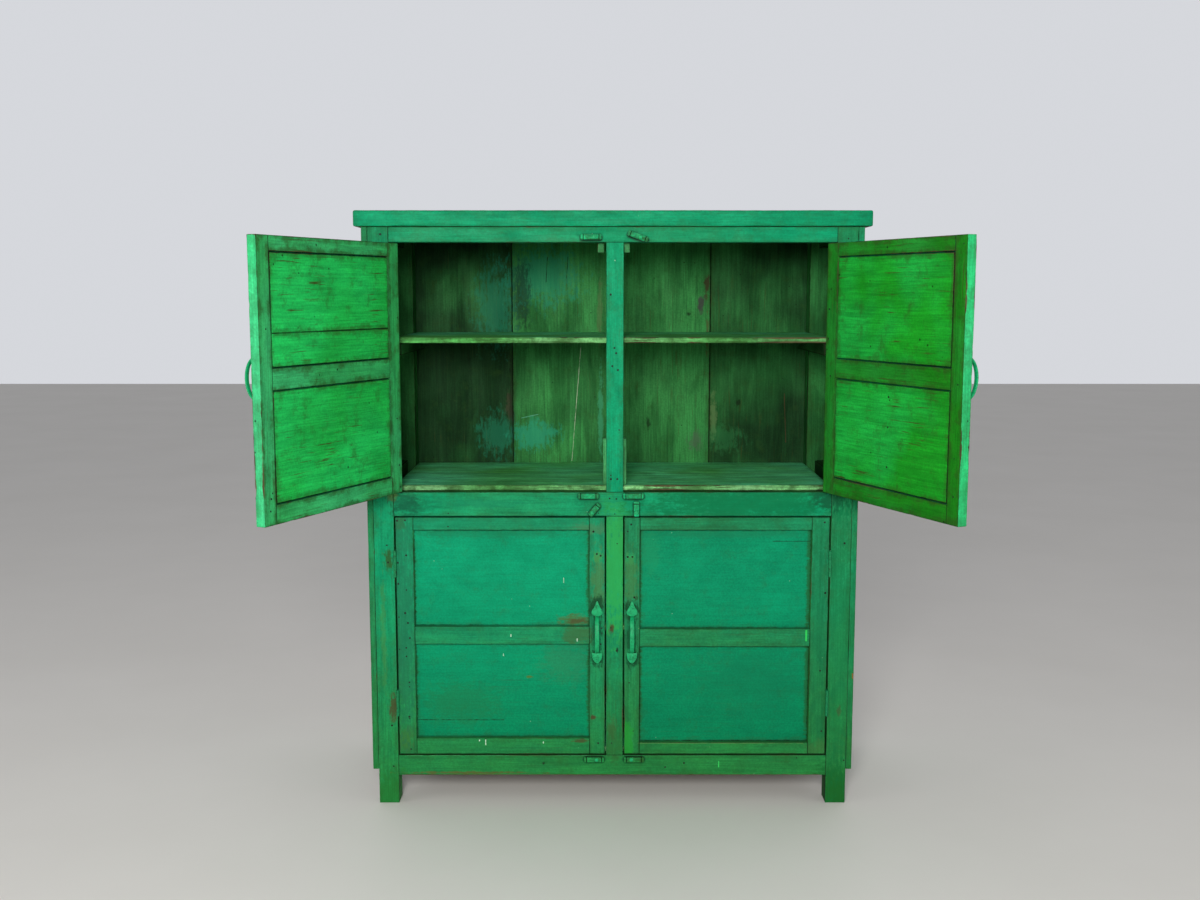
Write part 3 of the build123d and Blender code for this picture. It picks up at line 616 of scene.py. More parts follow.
# The greens of each painted finish, which are its main one, its second and the darker one near the floor that
# paints shade there, and its wear.
FINISHES = {
    "front_paint": (("front_green", "front_second", "front_low"),
                    {"wear": 0.35, "edge_dirt_and_shade": 0.4, "dirt": 0.3, "flecks": 0.5, "scores": 0.15}),
    "top_paint": (("top_green", "front_green", "front_low"),
                  {"wear": 0.3, "edge_dirt_and_shade": 0.25, "dirt": 0.2, "flecks": 0.3, "scores": 0.15}),
    "door_frame_paint": (("door_frame_green", "door_frame_second", "front_low"),
                         {"wear": 0.35, "edge_dirt_and_shade": 0.75, "edge_width": 1.8, "dirt": 0.25, "flecks": 0.3,
                          "scores": 0.2}),
    "panel_paint": (("panel_green", "panel_second", "panel_low"),
                    {"wear": 0.2, "edge_dirt_and_shade": 0.95, "edge_width": 4.6, "dirt": 0.25, "flecks": 0.25,
                     "scores": 0.12, "fibre": 0.06, "figure": 0.04, "mottle": 0.1, "clouds": (14, 14, 14)}),
    "door_back_paint": (("door_back_green", "door_back_second", "door_back_green"),
                        {"wear": 0.5, "edge_dirt_and_shade": 0.95, "edge_width": 1.8, "fibre": 0.16, "figure": 0.12,
                         "mottle": 0.14, "clouds": (8, 22, 22), "dirt": 0.6, "scores": 0.9, "holes": 0.9}),
    "left_frame_back_paint": (("left_back_green", "left_back_second", "left_back_green"), BACK_WEAR),
    "right_frame_back_paint": (("right_back_green", "right_back_second", "right_back_green"), BACK_WEAR),
    "door_edge_paint": (("door_edge_green", "door_edge_second", "door_edge_green"),
                        {"wear": 1.1, "edge_dirt_and_shade": 0.4, "dirt": 0.4, "fibre": 0.14, "scores": 0.4, "holes": 0.9}),
    "inside_paint": (("inside_green", "inside_second", "inside_green"), INSIDE_WEAR),
    "left_inside_paint": (("inside_second", "inside_green", "inside_second"), INSIDE_WEAR),
    "right_inside_paint": (("inside_green", "inside_second", "inside_green"), INSIDE_WEAR),
    "deck_paint": (("deck_green", "deck_second", "deck_green"),
                   {"wear": 0.7, "edge_dirt_and_shade": 0.5, "fibre": 0.2, "figure": 0.3, "mottle": 0.2, "dirt": 0.4,
                    "scores": 0.4, "roughness": 0.55}),
    "shelf_edge_paint": (("shelf_edge_green", "deck_second", "shelf_edge_green"),
                         {"wear": 1.3, "edge_dirt_and_shade": 0.6, "edge_width": 2.2, "fibre": 0.26, "figure": 0.35,
                          "mottle": 0.35, "clouds": (9, 60, 60), "dirt": 0.75, "scores": 0.95, "holes": 0.6,
                          "roughness": 0.55}),
    "stop_paint": (("stop_green", "inside_green", "stop_green"),
                   {"wear": 0.6, "edge_dirt_and_shade": 0.3, "fibre": 0.2, "figure": 0.2, "dirt": 0.4, "holes": 0.8}),
    "button_paint": (("button_green", "front_second", "front_low"),
                     {"wear": 0.0, "edge_dirt_and_shade": 0.95, "edge_width": 1.4, "dirt": 0.7, "mottle": 0.4,
                      "clouds": (60, 90, 90)}),
}
# Colour setting, rust colour, amount of rust and roughness of each iron.
IRONS = {
    "painted_iron": ("iron_green", "1d2a12", 0.15, 0.42),
    "hinge_iron": ("hinge_green", "1d2a12", 0.4, 0.42),
    "dark_iron": ("nail_colour", "120b07", 0.8, 0.6),
}
# Stains and painted shade on one upright plane of the cabinet: the CAD node that gives the plane, how far behind its
# front face it lies, how deep they reach, and (X, Z, half width, half height, colour, share) of each, all in mm.
STAINS_AND_SHADES = {
    # The posts and rails: scars, worn places and the two greens of the lower centre stile.
    "front_paint": ("post_front_left", 0, 30, (
        (5, 575, 35, 150, "2a9c48", 0.75), (-530, 600, 8, 24, OLIVE, 0.8), (-524, 235, 10, 30, RUST_BROWN, 0.75),
        (-2, 431, 5, 11, RUST_BROWN, 0.85), (12, 381, 2.5, 10, DIRT_AND_SHADE, 0.8), (0, 185, 10, 28, RUST_BROWN, 0.35),
        (-350, 76, 140, 3, "5f4c26", 0.6), (545, 230, 5, 14, RUST_BROWN, 0.7), (-165, 100, 5, 4, DIRT_AND_SHADE, 0.8),
        (-545, 420, 6, 120, "3a7a3a", 0.5), (-300, 736, 100, 10, "0a7a55", 0.5), (330, 733, 250, 45, "006a3e", 0.8),
        (540, 20, 60, 70, "145a1e", 0.8), (-540, 20, 60, 60, "1f6a22", 0.5), (-535, 1000, 20, 200, "3a8a58", 0.5),
        (540, 400, 40, 300, "0a6a3a", 0.45), (-470, 725, 50, 20, "0a5a38", 0.5), (0, 150, 16, 50, "2a5a2a", 0.5),
        (-515, 755, 12, 14, "8a9a3a", 0.4), (-492, 738, 34, 26, "0a4430", 0.6), (505, 745, 34, 24, "0a4229", 0.65),
    )),
    # The outside of the door frames: old handle places, scrapes, dark patches, and painted shadow with dirt round the
    # handles.
    "door_frame_paint": ("post_front_left", 0, 30, (
        (-35, 606, 14, 14, "1f9a58", 0.8), (42, 603, 14, 14, "1f9a58", 0.8), (-34, 545, 16, 75, "4a6a33", 0.55),
        (44, 545, 16, 80, "3f6a33", 0.55), (-82, 418, 34, 26, "3a5c30", 0.65), (-45, 214, 6, 5, RUST_BROWN, 0.85),
        (-75, 156, 16, 4, RUST_BROWN, 0.7), (-52, 674, 42, 14, "41724a", 0.6), (-497, 160, 18, 30, "3a6a2a", 0.6),
        (36, 150, 12, 50, "1e8a2c", 0.7), (-497, 450, 26, 260, "1b6446", 0.55), (490, 400, 20, 300, "0d6238", 0.4),
        (-500, 690, 14, 14, "2c5a34", 0.7), (500, 135, 30, 20, "3a6a34", 0.5), (-300, 690, 230, 14, "0c7450", 0.35),
        (-36.5, 482, 18, 26, SHADOW_AND_DIRT, 0.9), (-36.5, 357, 17, 20, SHADOW_AND_DIRT, 0.9), (-36.5, 418, 11, 55, SHADOW_AND_DIRT, 0.75),
        (46.5, 482, 18, 26, SHADOW_AND_DIRT, 0.9), (46.5, 357, 17, 20, SHADOW_AND_DIRT, 0.9), (46.5, 418, 11, 55, SHADOW_AND_DIRT, 0.75),
    )),
    # The outside of the lower panels: scrapes, and painted shade beside the stiles and under the top rails.
    "panel_paint": ("post_front_left", 10, 20, (
        (-84, 450, 40, 13, "4a5f2c", 0.75), (-80, 449, 24, 6, "4a4428", 0.7), (-110, 350, 60, 50, "2c7048", 0.4),
        (-370, 245, 90, 50, "1c6a3c", 0.4), (-475, 285, 7, 160, "1d5a2c", 0.8), (-475, 560, 7, 160, "1d5a2c", 0.8),
        (-54, 285, 7, 160, "1d5a2c", 0.8), (-54, 560, 7, 160, "1d5a2c", 0.8), (63, 285, 7, 160, "1d5a2c", 0.8),
        (63, 560, 7, 160, "1d5a2c", 0.8), (468, 285, 7, 160, "1d5a2c", 0.8), (468, 560, 7, 160, "1d5a2c", 0.8),
        (-280, 660, 200, 10, "12704a", 0.5), (270, 660, 200, 10, "12704a", 0.5), (-200, 312, 7, 3, "4d6a20", 0.8),
        (90, 620, 25, 50, "1d8a58", 0.35), (330, 300, 120, 80, "0b6a46", 0.35),
    )),
    # The back boards: gouges, knots and blue-green scuffs.
    "inside_paint": ("back_boards", 0, 30, (
        (252, 1250, 7, 30, "3c3420", 0.9), (238, 1196, 8, 22, "3f3a3c", 0.85), (205, 1172, 6, 5, DIRT_AND_SHADE, 0.8),
        (255, 1120, 4, 60, "4a4a28", 0.7), (273, 900, 8, 60, "5f7a4a", 0.6), (225, 835, 18, 22, "4a6048", 0.7),
        (-185, 1270, 90, 70, "1f8a66", 0.6), (-240, 1220, 24, 90, "16241e", 0.7),
        (-305, 1190, 50, 100, "1c7a5a", 0.5), (-205, 850, 55, 35, "2a9a74", 0.65), (-300, 850, 45, 55, "1d7a58", 0.5),
        (-272, 925, 9, 34, "3a3a26", 0.75), (-30, 1180, 6, 80, "5a7044", 0.5), (-28, 900, 6, 100, "3fa070", 0.6),
        (100, 880, 6, 12, DIRT_AND_SHADE, 0.7), (340, 935, 6, 8, DIRT_AND_SHADE, 0.7), (-265, 960, 6, 120, DIRT_AND_SHADE, 0.5),
        (300, 840, 50, 30, "2f7a44", 0.4),
    )),
}
# Thin lines on such a plane, from one end to the other: (X, Z, X, Z, width, colour), all in mm.
LINES = {
    # The rails: worn lines, and a pale line along the bottom rail that is partly a painted highlight.
    "front_paint": ("post_front_left", 0, (
        (-500, 70.5, 500, 70.5, 1.6, "5a4a26"), (-500, 119.5, -50, 119.5, 0.7, "4fa86a"),
        (257, 90, 257, 104, 1.6, "37c45a"), (575, 311, 575, 322, 2.2, "8a5a2c"),
    )),
    # The door frames: pale flecks, worn lines, and pale lines on the rails' top arrises that are partly painted
    # highlights.
    "door_frame_paint": ("post_front_left", 0, (
        (-84, 402, -84, 408, 1.5, FLECK), (-242, 414, -242, 419, 1.5, FLECK), (-305, 146, -305, 158, 1.5, FLECK),
        (-166, 150, -166, 153, 1.5, FLECK), (-320, 156, -320, 158, 1.5, FLECK), (462, 404, 462, 428, 3, "2fbf55"),
        (62, 150, 460, 150, 0.8, "5a8a4a"), (62, 433.5, 460, 433.5, 0.7, "5f9a5a"),
        (-470, 439.5, -110, 439.5, 0.7, "5fb07a"),
    )),
    # The lower panels: splits and pale flecks.
    "panel_paint": ("post_front_left", 10, (
        (-472, 205, -262, 204.5, 1, DIRT_AND_SHADE), (380, 643, 470, 643, 0.9, DIRT_AND_SHADE), (-116, 543, -116, 554, 1.5, FLECK),
        (-261, 364, -261, 368, 1.5, FLECK),
    )),
    # The back boards: a pale knife mark and thin scratches.
    "inside_paint": ("back_boards", 0, (
        (-80, 1090, -105, 780, 0.9, "a8b89a"), (462, 960, 468, 830, 1.4, "40361f"),
        (-168, 1320, -172, 1255, 1.2, DIRT_AND_SHADE), (-114, 1320, -118, 1265, 1, DIRT_AND_SHADE), (-240, 895, -195, 905, 1.2, "5aa080"),
    )),
}


def material(name):
    """The finish of that name, made the first time it is asked for."""
    if name not in made:
        look = bpy.context.scene.cabinet_paint
        if name in FINISHES:
            colours, settings = FINISHES[name]
            made[name] = old_paint(name, *[tuple(getattr(look, label)) for label in colours],
                                   tuple(look.bare_wood), marks=stains_and_shades_of(name), thin_lines=lines_of(name), **settings)
        elif name == "bare_timber":
            made[name] = bare_timber(name, tuple(look.raw_timber), tuple(look.raw_timber_dark))
        else:
            colour, rust, amount, roughness = IRONS[name]
            made[name] = painted_iron(name, tuple(getattr(look, colour)), tint(rust), amount, roughness)
    return made[name]


# ---------------------------------------------------------------- settings

# What each colour setting is for, and its default display code.
COLOURS = {
    "front_green": ("Main green of the posts and rails", "008c5e"),
    "front_second": ("Second green of the posts and rails", "1c824f"),
    # A darker green near the floor, which paints shade there.
    "front_low": ("Green of the posts and rails near the floor", "227432"),
    "top_green": ("Main green of the top", "00885a"),
    "door_frame_green": ("Main green of the door frames from outside", "10865a"),
    "door_frame_second": ("Second green of the door frames", "1a7a4c"),
    "panel_green": ("Main green of the door panels from outside", "008e62"),
    "panel_second": ("Second green of the door panels", "007f56"),
    # A darker green near the floor, which paints shade there.
    "panel_low": ("Green of the door panels near the floor", "007348"),
    "door_back_green": ("Main green of the panels from inside", "22b957"),
    "door_back_second": ("Second green of the panels from inside", "1a9021"),
    "left_back_green": ("Main green of the left frames from inside", "38a865"),
    "left_back_second": ("Second green of the left frames from inside", "248a35"),
    "right_back_green": ("Main green of the right frames from inside", "2a9240"),
    "right_back_second": ("Second green of the right frames from inside", "1a7616"),
    "door_edge_green": ("Main green of the doors' free edges", "45c884"),
    "door_edge_second": ("Second green of the doors' free edges", "2dbb70"),
    "inside_green": ("Main green of the inside", "143819"),
    "inside_second": ("Second green of the inside", "33803f"),
    "deck_green": ("Main green of the decks and shelves", "60d49c"),
    "deck_second": ("Second green of the decks and shelves", "51a651"),
    "shelf_edge_green": ("Green of the front edges of the shelves", "92d08e"),
    "stop_green": ("Green of the door stops", "46a262"),
    "button_green": ("Green of the turn buttons", "18ac70"),
    "iron_green": ("Green of the handles", "12a062"),
    "hinge_green": ("Green of the hinges", "0b7a48"),
    "nail_colour": ("Dark colour of the nail heads", "0b120c"),
    "bare_wood": ("Timber where the paint has worn off", "5e583a"),
    "raw_timber": ("Light part of the unpainted timber", "8a7355"),
    "raw_timber_dark": ("Dark part of the unpainted timber", "5f4a33"),
}


class CabinetPaint(bpy.types.PropertyGroup):
    """The greens of the cabinet and the timber under them."""

    __annotations__ = {
        label: FloatVectorProperty(name=label.replace("_", " ").capitalize(), description=words, default=tint(code),
                                   size=3, subtype="COLOR", min=0.0, max=1.0)
        for label, (words, code) in COLOURS.items()}


class CabinetTimber(bpy.types.PropertyGroup):
    """How worn the timber is."""

    arris: FloatProperty(name="Arris", description="Usual radius of a worn arris, in millimetres", default=1.3,
                         min=0.3, max=6.0)
    top_arris: FloatProperty(name="Top arris", description="Radius of the top's arrises, in millimetres",
                             default=4.0, min=0.5, max=12.0)
    joint_arris: FloatProperty(name="Joint arris", description="Radius where two pieces meet, in millimetres",
                               default=0.4, min=0.2, max=2.0)
    chips: FloatProperty(name="Dents", description="Dents per metre of arris", default=4.0, min=0.0, max=20.0)
    step: FloatProperty(name="Step", description="Spacing of the cross sections, in millimetres", default=12.0,
                        min=4.0, max=40.0)
    seed: IntProperty(name="Seed", description="Start of the random dents and waves", default=7, min=0)


class CabinetStage(bpy.types.PropertyGroup):
    """The floor, the light and the camera."""

    key_power: FloatProperty(name="Key light", description="Power of the soft light in front", default=150.0,
                             min=0.0, unit="POWER")
    left_power: FloatProperty(name="Left light", description="Power of the soft light at the left", default=20.0,
                              min=0.0, unit="POWER")
    right_power: FloatProperty(name="Right light", description="Power of the soft light at the right",
                               default=14.0, min=0.0, unit="POWER")
    sky_front: FloatProperty(name="Surroundings in front", description="Brightness on the camera's side",
                             default=0.24, min=0.0)
    sky_back: FloatProperty(name="Surroundings behind", description="Brightness beyond the cabinet",
                            default=0.72, min=0.0)
    lens: FloatProperty(name="Lens", description="Focal length on a 36 mm wide frame", default=37.55, min=10.0,
                        unit="CAMERA")
    pitch: FloatProperty(name="Pitch", description="How far the camera looks down", default=math.radians(7.116),
                         subtype="ANGLE")
    place: FloatVectorProperty(name="Camera", description="Where the camera stands", size=3,
                               default=(-0.0296, -3.1258, 1.2247), subtype="TRANSLATION", unit="LENGTH")


# ---------------------------------------------------------------- carcass

def between(low_node, high_node, axis):
    """The gap between two CAD nodes along an axis."""
    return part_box(low_node)[1][axis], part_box(high_node)[0][axis]


def closed(boxes, axis):
    """Boards that lie edge to edge along an axis, with the seams between them closed by paint."""
    boxes = sorted(([Vector(low), Vector(high)] for low, high in boxes), key=lambda box: box[0][axis])
    for first, second in zip(boxes, boxes[1:]):
        if 0 < second[0][axis] - first[1][axis] < 2 * MM:
            middle = (first[1][axis] + second[0][axis]) / 2
            first[1][axis] = second[0][axis] = middle
    return boxes


def cut(box, axis, limits):
    """A box with its limits along one axis replaced."""
    low, high = Vector(box[0]), Vector(box[1])
    low[axis], high[axis] = limits
    return low, high


FRONT_PAINTS = ("front_paint", "inside_paint", "bare_timber")
OUTSIDE, INSIDE, RAW = 0, 1, 2


def make_boards(seed, node, boxes, along, faces, slot, paints, tone=None, **shape):
    """Makes the carcass piece of a CAD node from its boxes. tone may be one for all its boards or one for each."""
    timber = Timber(seed)
    for index, box in enumerate(boxes):
        timber.board(*box, along, faces, tone=tone[index] if isinstance(tone, tuple) else tone, **shape)
    timber.finish(f"{node}_timber", "carcass", [node], slot, paints)


class CABINET_OT_frame(bpy.types.Operator):
    """Makes the posts, the rails and the centre stiles"""

    bl_idname = "cabinet.frame"
    bl_label = "Posts and rails"

    def execute(self, context):
        wood = context.scene.cabinet_timber
        worn = {"arris": wood.arris, "chips": wood.chips, "step": wood.step}
        seed = wood.seed
        for node, inner, back, tone in (("post_front_left", "+x", "+y", -0.4), ("post_front_right", "-x", "+y", 1.2),
                                        ("post_back_left", "+x", "-y", 0.0), ("post_back_right", "-x", "-y", 0.6)):
            seed += 1
            faces = {"": OUTSIDE, inner: INSIDE, back: INSIDE, "-z": RAW, "+z": RAW}
            if "back" in node:
                faces["+y"] = RAW
            make_boards(seed, node, [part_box(node)], 2, faces, "carcass_paint",
                        ("front_paint", f"{node.rpartition('_')[2]}_inside_paint", "bare_timber"), tone=tone, **worn)
        worn["joint"] = wood.joint_arris
        rail_ends = between("post_front_left", "post_front_right", 0)
        for node, tone in (("front_top_rail", -0.6), ("front_mid_rail", -0.3), ("front_bottom_rail", 0.5)):
            seed += 1
            make_boards(seed, node, [cut(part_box(node), 0, rail_ends)], 0,
                        {"": INSIDE, "-y": OUTSIDE, "-z": OUTSIDE}, "carcass_paint", FRONT_PAINTS, tone=tone, **worn)
        for node, below, above, tone in (("centre_stile_upper", "front_mid_rail", "front_top_rail", -1.0),
                                         ("centre_stile_lower", "front_bottom_rail", "front_mid_rail", 0.0)):
            seed += 1
            make_boards(seed, node, [cut(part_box(node), 2, between(below, above, 2))], 2,
                        {"": OUTSIDE, "+y": INSIDE}, "carcass_paint", FRONT_PAINTS, tone=tone, **worn)
        make_boards(seed + 1, "back_rails", [cut(box, 0, rail_ends) for box in solids("back_rails")], 0,
                    {"": INSIDE, "+y": RAW}, "inner_paint", FRONT_PAINTS, **worn)
        for side in ("left", "right"):
            seed += 3
            node = f"side_rails_{side}"
            run = between(f"post_front_{side}", f"post_back_{side}", 1)
            make_boards(seed, node, [cut(box, 1, run) for box in solids(node)], 1, {"": INSIDE}, "inner_paint",
                        FRONT_PAINTS, **worn)
        return {"FINISHED"}


class CABINET_OT_boards(bpy.types.Operator):
    """Makes the top, the side boards and the back boards"""

    bl_idname = "cabinet.boards"
    bl_label = "Top and boards"

    def execute(self, context):
        wood = context.scene.cabinet_timber
        seed = wood.seed + 100
        worn = {"chips": wood.chips, "step": wood.step}
        make_boards(seed, "top_board", closed(solids("top_board"), 1), 0, {"": OUTSIDE, "-z": INSIDE, "+y": RAW},
                    "carcass_paint", ("top_paint", "inside_paint", "bare_timber"), arris=wood.top_arris, tone=-0.2,
                    **worn)
        for side, inner, tone in (("left", "+x", 0.9), ("right", "-x", 0.4)):
            seed += 5
            node = f"side_boards_{side}"
            make_boards(seed, node, closed(solids(node), 1), 2, {"": OUTSIDE, inner: INSIDE, "-z": RAW},
                        "carcass_paint", ("front_paint", f"{side}_inside_paint", "bare_timber"), arris=wood.arris,
                        tone=tone, **worn)
        make_boards(seed + 5, "back_boards", closed(solids("back_boards"), 0), 2,
                    {"": INSIDE, "+y": RAW, "-z": RAW}, "inner_paint", FRONT_PAINTS, arris=wood.arris,
                    tone=(-1.0, 0.7, 0.8, -0.6), **worn)
        return {"FINISHED"}


class CABINET_OT_levels(bpy.types.Operator):
    """Makes the decks, the shelves, their cleats and the door stops"""

    bl_idname = "cabinet.levels"
    bl_label = "Decks and shelves"

    def execute(self, context):
        wood = context.scene.cabinet_timber
        seed = wood.seed + 200
        paints = ("deck_paint", "shelf_edge_paint", "inside_paint", "bare_timber")
        for node in ("mid_deck", "upper_shelf", "lower_shelf", "bottom_deck"):
            seed += 3
            make_boards(seed, node, closed(solids(node), 1), 0,
                        {"": 0, "-y": 1, "-z": 3 if node == "bottom_deck" else 2}, "inner_paint", paints,
                        arris=wood.arris * 1.5, chips=wood.chips * 1.6, step=wood.step)
        make_boards(seed + 3, "shelf_cleats", solids("shelf_cleats"), 1, {"": 2}, "inner_paint", paints,
                    arris=wood.arris, chips=wood.chips, step=wood.step)
        make_boards(seed + 4, "stop_blocks", solids("stop_blocks"), 2, {"": 0}, "inner_paint", ("stop_paint",),
                    arris=wood.arris, chips=wood.chips, step=6.0)
        return {"FINISHED"}


# ---------------------------------------------------------------- doors

class CABINET_OT_doors(bpy.types.Operator):
    """Makes the stiles, rails and panels of the four doors"""

    bl_idname = "cabinet.doors"
    bl_label = "Doors"

    def execute(self, context):
        wood = context.scene.cabinet_timber
        seed = wood.seed + 300
        worn = {"arris": wood.arris, "chips": wood.chips * 1.5, "step": 5.0}
        groove = 2.0 * MM
        overlap = 2.0 * MM
        for door in DOORS:
            closing = shut(door)
            opening = closing.inverted()
            stiles = sorted(solids(f"{door}_stiles", closing), key=lambda box: box[0].x)
            rails = solids(f"{door}_rails", closing)
            panels = solids(f"{door}_panels", closing)
            across = (stiles[0][1].x, stiles[1][0].x)
            free = "+x" if "left" in door else "-x"
            hung = "-x" if "left" in door else "+x"
            frame_paints = ("door_frame_paint", f"{door.rpartition('_')[2]}_frame_back_paint", "door_edge_paint")
            tone = -0.8 if "left" in door else 0.9
            split = 0.30

            timber = Timber(seed)
            for box in stiles:
                is_free = (box is stiles[1]) == (free == "+x")
                timber.board(*box, 2, {"": 0, "+y": 1, free: 2 if is_free else 1, hung: 1}, tone=tone, **worn)
            timber.finish(f"{door}_stiles_timber", door, [f"{door}_stiles"], "door_paint", frame_paints, opening)

            timber = Timber(seed + 1)
            for box in rails:
                timber.board(*cut(box, 0, across), 0, {"": 0, "+y": 1}, joint=wood.joint_arris, tone=tone,
                             **worn)
            timber.finish(f"{door}_rails_timber", door, [f"{door}_rails"], "door_paint", frame_paints, opening)

            timber = Timber(seed + 2)
            for index, (low, high) in enumerate(panels):
                middle = (low.y + high.y) / 2
                up = (rails[index][1].z, rails[index + 1][0].z)
                timber.board((across[0] - overlap, low.y, up[0] - overlap),
                             (across[1] + overlap, middle, up[1] + overlap), 0, {"": 0},
                             arris=0.5, chips=0, step=30.0, wave=0.4, tone=tone)
                field = [up[0] + groove, up[1] - groove]
                if index == 1 and "left" in door:
                    field.insert(1, up[0] + split * (up[1] - up[0]))
                for foot, head in zip(field, field[1:]):
                    timber.board((across[0] + groove, middle, foot), (across[1] - groove, high.y, head), 0,
                                 {"": 1}, arris=1.8, chips=wood.chips * 2, step=12.0, wave=0.5, tone=tone)
            timber.finish(f"{door}_panels_timber", door, [f"{door}_panels"], "door_paint",
                          ("panel_paint", "door_back_paint"), opening)
            seed += 10
        return {"FINISHED"}


# ---------------------------------------------------------------- ironwork

def outline_mesh(points, thickness):
    """A plate of the given outline, standing on the XY plane."""
    shape = bmesh.new()
    low, high = [[shape.verts.new((x, y, z)) for x, y in points] for z in (0, thickness)]
    shape.faces.new(low[::-1])
    shape.faces.new(high)
    for index in range(len(points)):
        shape.faces.new((low[index - 1], low[index], high[index], high[index - 1]))
    bmesh.ops.recalc_face_normals(shape, faces=shape.faces)
    return shape


UPPER_SPADE = ((0.0, 4.6), (1.6, 6.2), (3.4, 10.2), (6.0, 12.6), (9.5, 13.3), (13.0, 12.6), (17.0, 10.2),
               (21.5, 7.2), (26.0, 5.2), (30.5, 3.6), (34.5, 2.0), (36.8, 0.6))
LOWER_SPADE = ((0.0, 4.6), (0.2, 8.5), (-1.2, 11.6), (1.5, 12.2), (6.0, 12.0), (11.0, 11.4), (16.0, 9.6),
               (20.5, 6.8), (23.5, 3.6), (24.8, 0.8))


def spade_outline(half, direction):
    """The closed outline of a spade end from its (distance, half width) places in mm, up or down the bar."""
    right = [(wide * MM, direction * away * MM) for away, wide in half]
    outline = right + [(-x, y) for x, y in reversed(right)]
    return outline if direction > 0 else outline[::-1]


def place_mesh(name, shape, matrix, bevel, segments, finish):
    """Turns a bmesh into an object in its place, with its edges rounded."""
    mesh = bpy.data.meshes.new(name)
    shape.to_mesh(mesh)
    shape.free()
    mesh.transform(matrix)
    mesh.materials.append(material(finish))
    piece = put(name, mesh)
    rounding = piece.modifiers.new("rounding", "BEVEL")
    rounding.width = bevel
    rounding.segments = segments
    rounding.limit_method = "ANGLE"
    rounding.angle_limit = math.radians(35)
    bake_modifiers(piece)
    piece.data.shade_smooth()
    return piece


def bake_modifiers(piece):
    """Puts the result of the modifiers into the mesh and removes them."""
    bpy.context.view_layer.update()
    evaluated = piece.evaluated_get(bpy.context.evaluated_depsgraph_get())
    result = bpy.data.meshes.new_from_object(evaluated)
    piece.modifiers.clear()
    old = piece.data
    piece.data = result
    result.name = piece.name
    if old.users == 0:
        bpy.data.meshes.remove(old)


def join_pieces(pieces, name):
    """Joins objects into the first of them."""
    total = bmesh.new()
    for piece in pieces:
        total.from_mesh(piece.data)
    first = pieces[0]
    total.to_mesh(first.data)
    total.free()
    for piece in pieces[1:]:
        bpy.data.objects.remove(piece)
    first.name = name
    first.data.name = name
    return first


class CABINET_OT_handles(bpy.types.Operator):
    """Makes the bow handles"""

    bl_idname = "cabinet.handles"
    bl_label = "Bow handles"

    def execute(self, context):
        neck = 9.5 * MM
        for door in DOORS:
            closing = shut(door)
            low, high = solids(f"{door}_handle", closing)[0]
            middle_x = (low.x + high.x) / 2
            plate = 2.5 * MM
            reach = high.y - low.y
            span = 90.0 * MM
            foot = low.z + 25.0 * MM
            centre = foot + span / 2
            facing = Matrix(((1, 0, 0, middle_x), (0, 0, -1, high.y), (0, 1, 0, 0), (0, 0, 0, 1)))
            pieces = []
            for direction, start, half in ((1, foot + span, UPPER_SPADE), (-1, foot, LOWER_SPADE)):
                shape = outline_mesh(spade_outline(half, direction), plate)
                pieces.append(place_mesh("spade", shape, facing @ Matrix.Translation((0, start, 0)), 0.8 * MM, 3,
                                         "painted_iron"))
            shape = bmesh.new()
            steps = 40
            thick = 4.0 * MM
            rings = []
            for index in range(steps + 1):
                angle = math.pi * index / steps
                out = Vector((0, -math.sin(angle), -math.cos(angle)))
                path = Vector((middle_x, high.y - (reach - thick / 2) * math.sin(angle),
                               centre - (span / 2 - thick / 2) * math.cos(angle)))
                belly = 1.0 + 0.12 * math.sin(angle)
                half_w, half_t = neck / 2 * belly, thick / 2
                ring = []
                for corner in range(12):
                    turn = 2 * math.pi * (corner + 0.5) / 12
                    wide = math.copysign(abs(math.cos(turn)) ** 0.55, math.cos(turn)) * half_w
                    deep = math.copysign(abs(math.sin(turn)) ** 0.7, math.sin(turn)) * half_t
                    ring.append(shape.verts.new(path + Vector((wide, 0, 0)) + out * deep))
                rings.append(ring)
            for first, second in zip(rings, rings[1:]):
                for corner in range(12):
                    after = (corner + 1) % 12
                    shape.faces.new((first[corner], first[after], second[after], second[corner]))
            shape.faces.new(list(reversed(rings[0])))
            shape.faces.new(rings[-1])
            bmesh.ops.recalc_face_normals(shape, faces=shape.faces)
            pieces.append(place_mesh("bow", shape, Matrix.Identity(4), 0.1 * MM, 1, "painted_iron"))
            handle = join_pieces(pieces, f"{door}_bow_handle")
            handle.data.transform(closing.inverted())
            settle(handle, door, [f"{door}_handle"])
        return {"FINISHED"}


class CABINET_OT_hinges(bpy.types.Operator):
    """Paints the hinge leaves, pins and their screws"""

    bl_idname = "cabinet.hinges"
    bl_label = "Hinges"

    def execute(self, context):
        nodes = ["hinge_frame_leaves", "hinge_pins", "hinge_frame_screws"]
        nodes += [f"{door}_hinge_leaves" for door in DOORS]
        for node in nodes:
            for slot in frame["nodes"][node].material_slots:
                slot.material = material("hinge_iron")
        return {"FINISHED"}


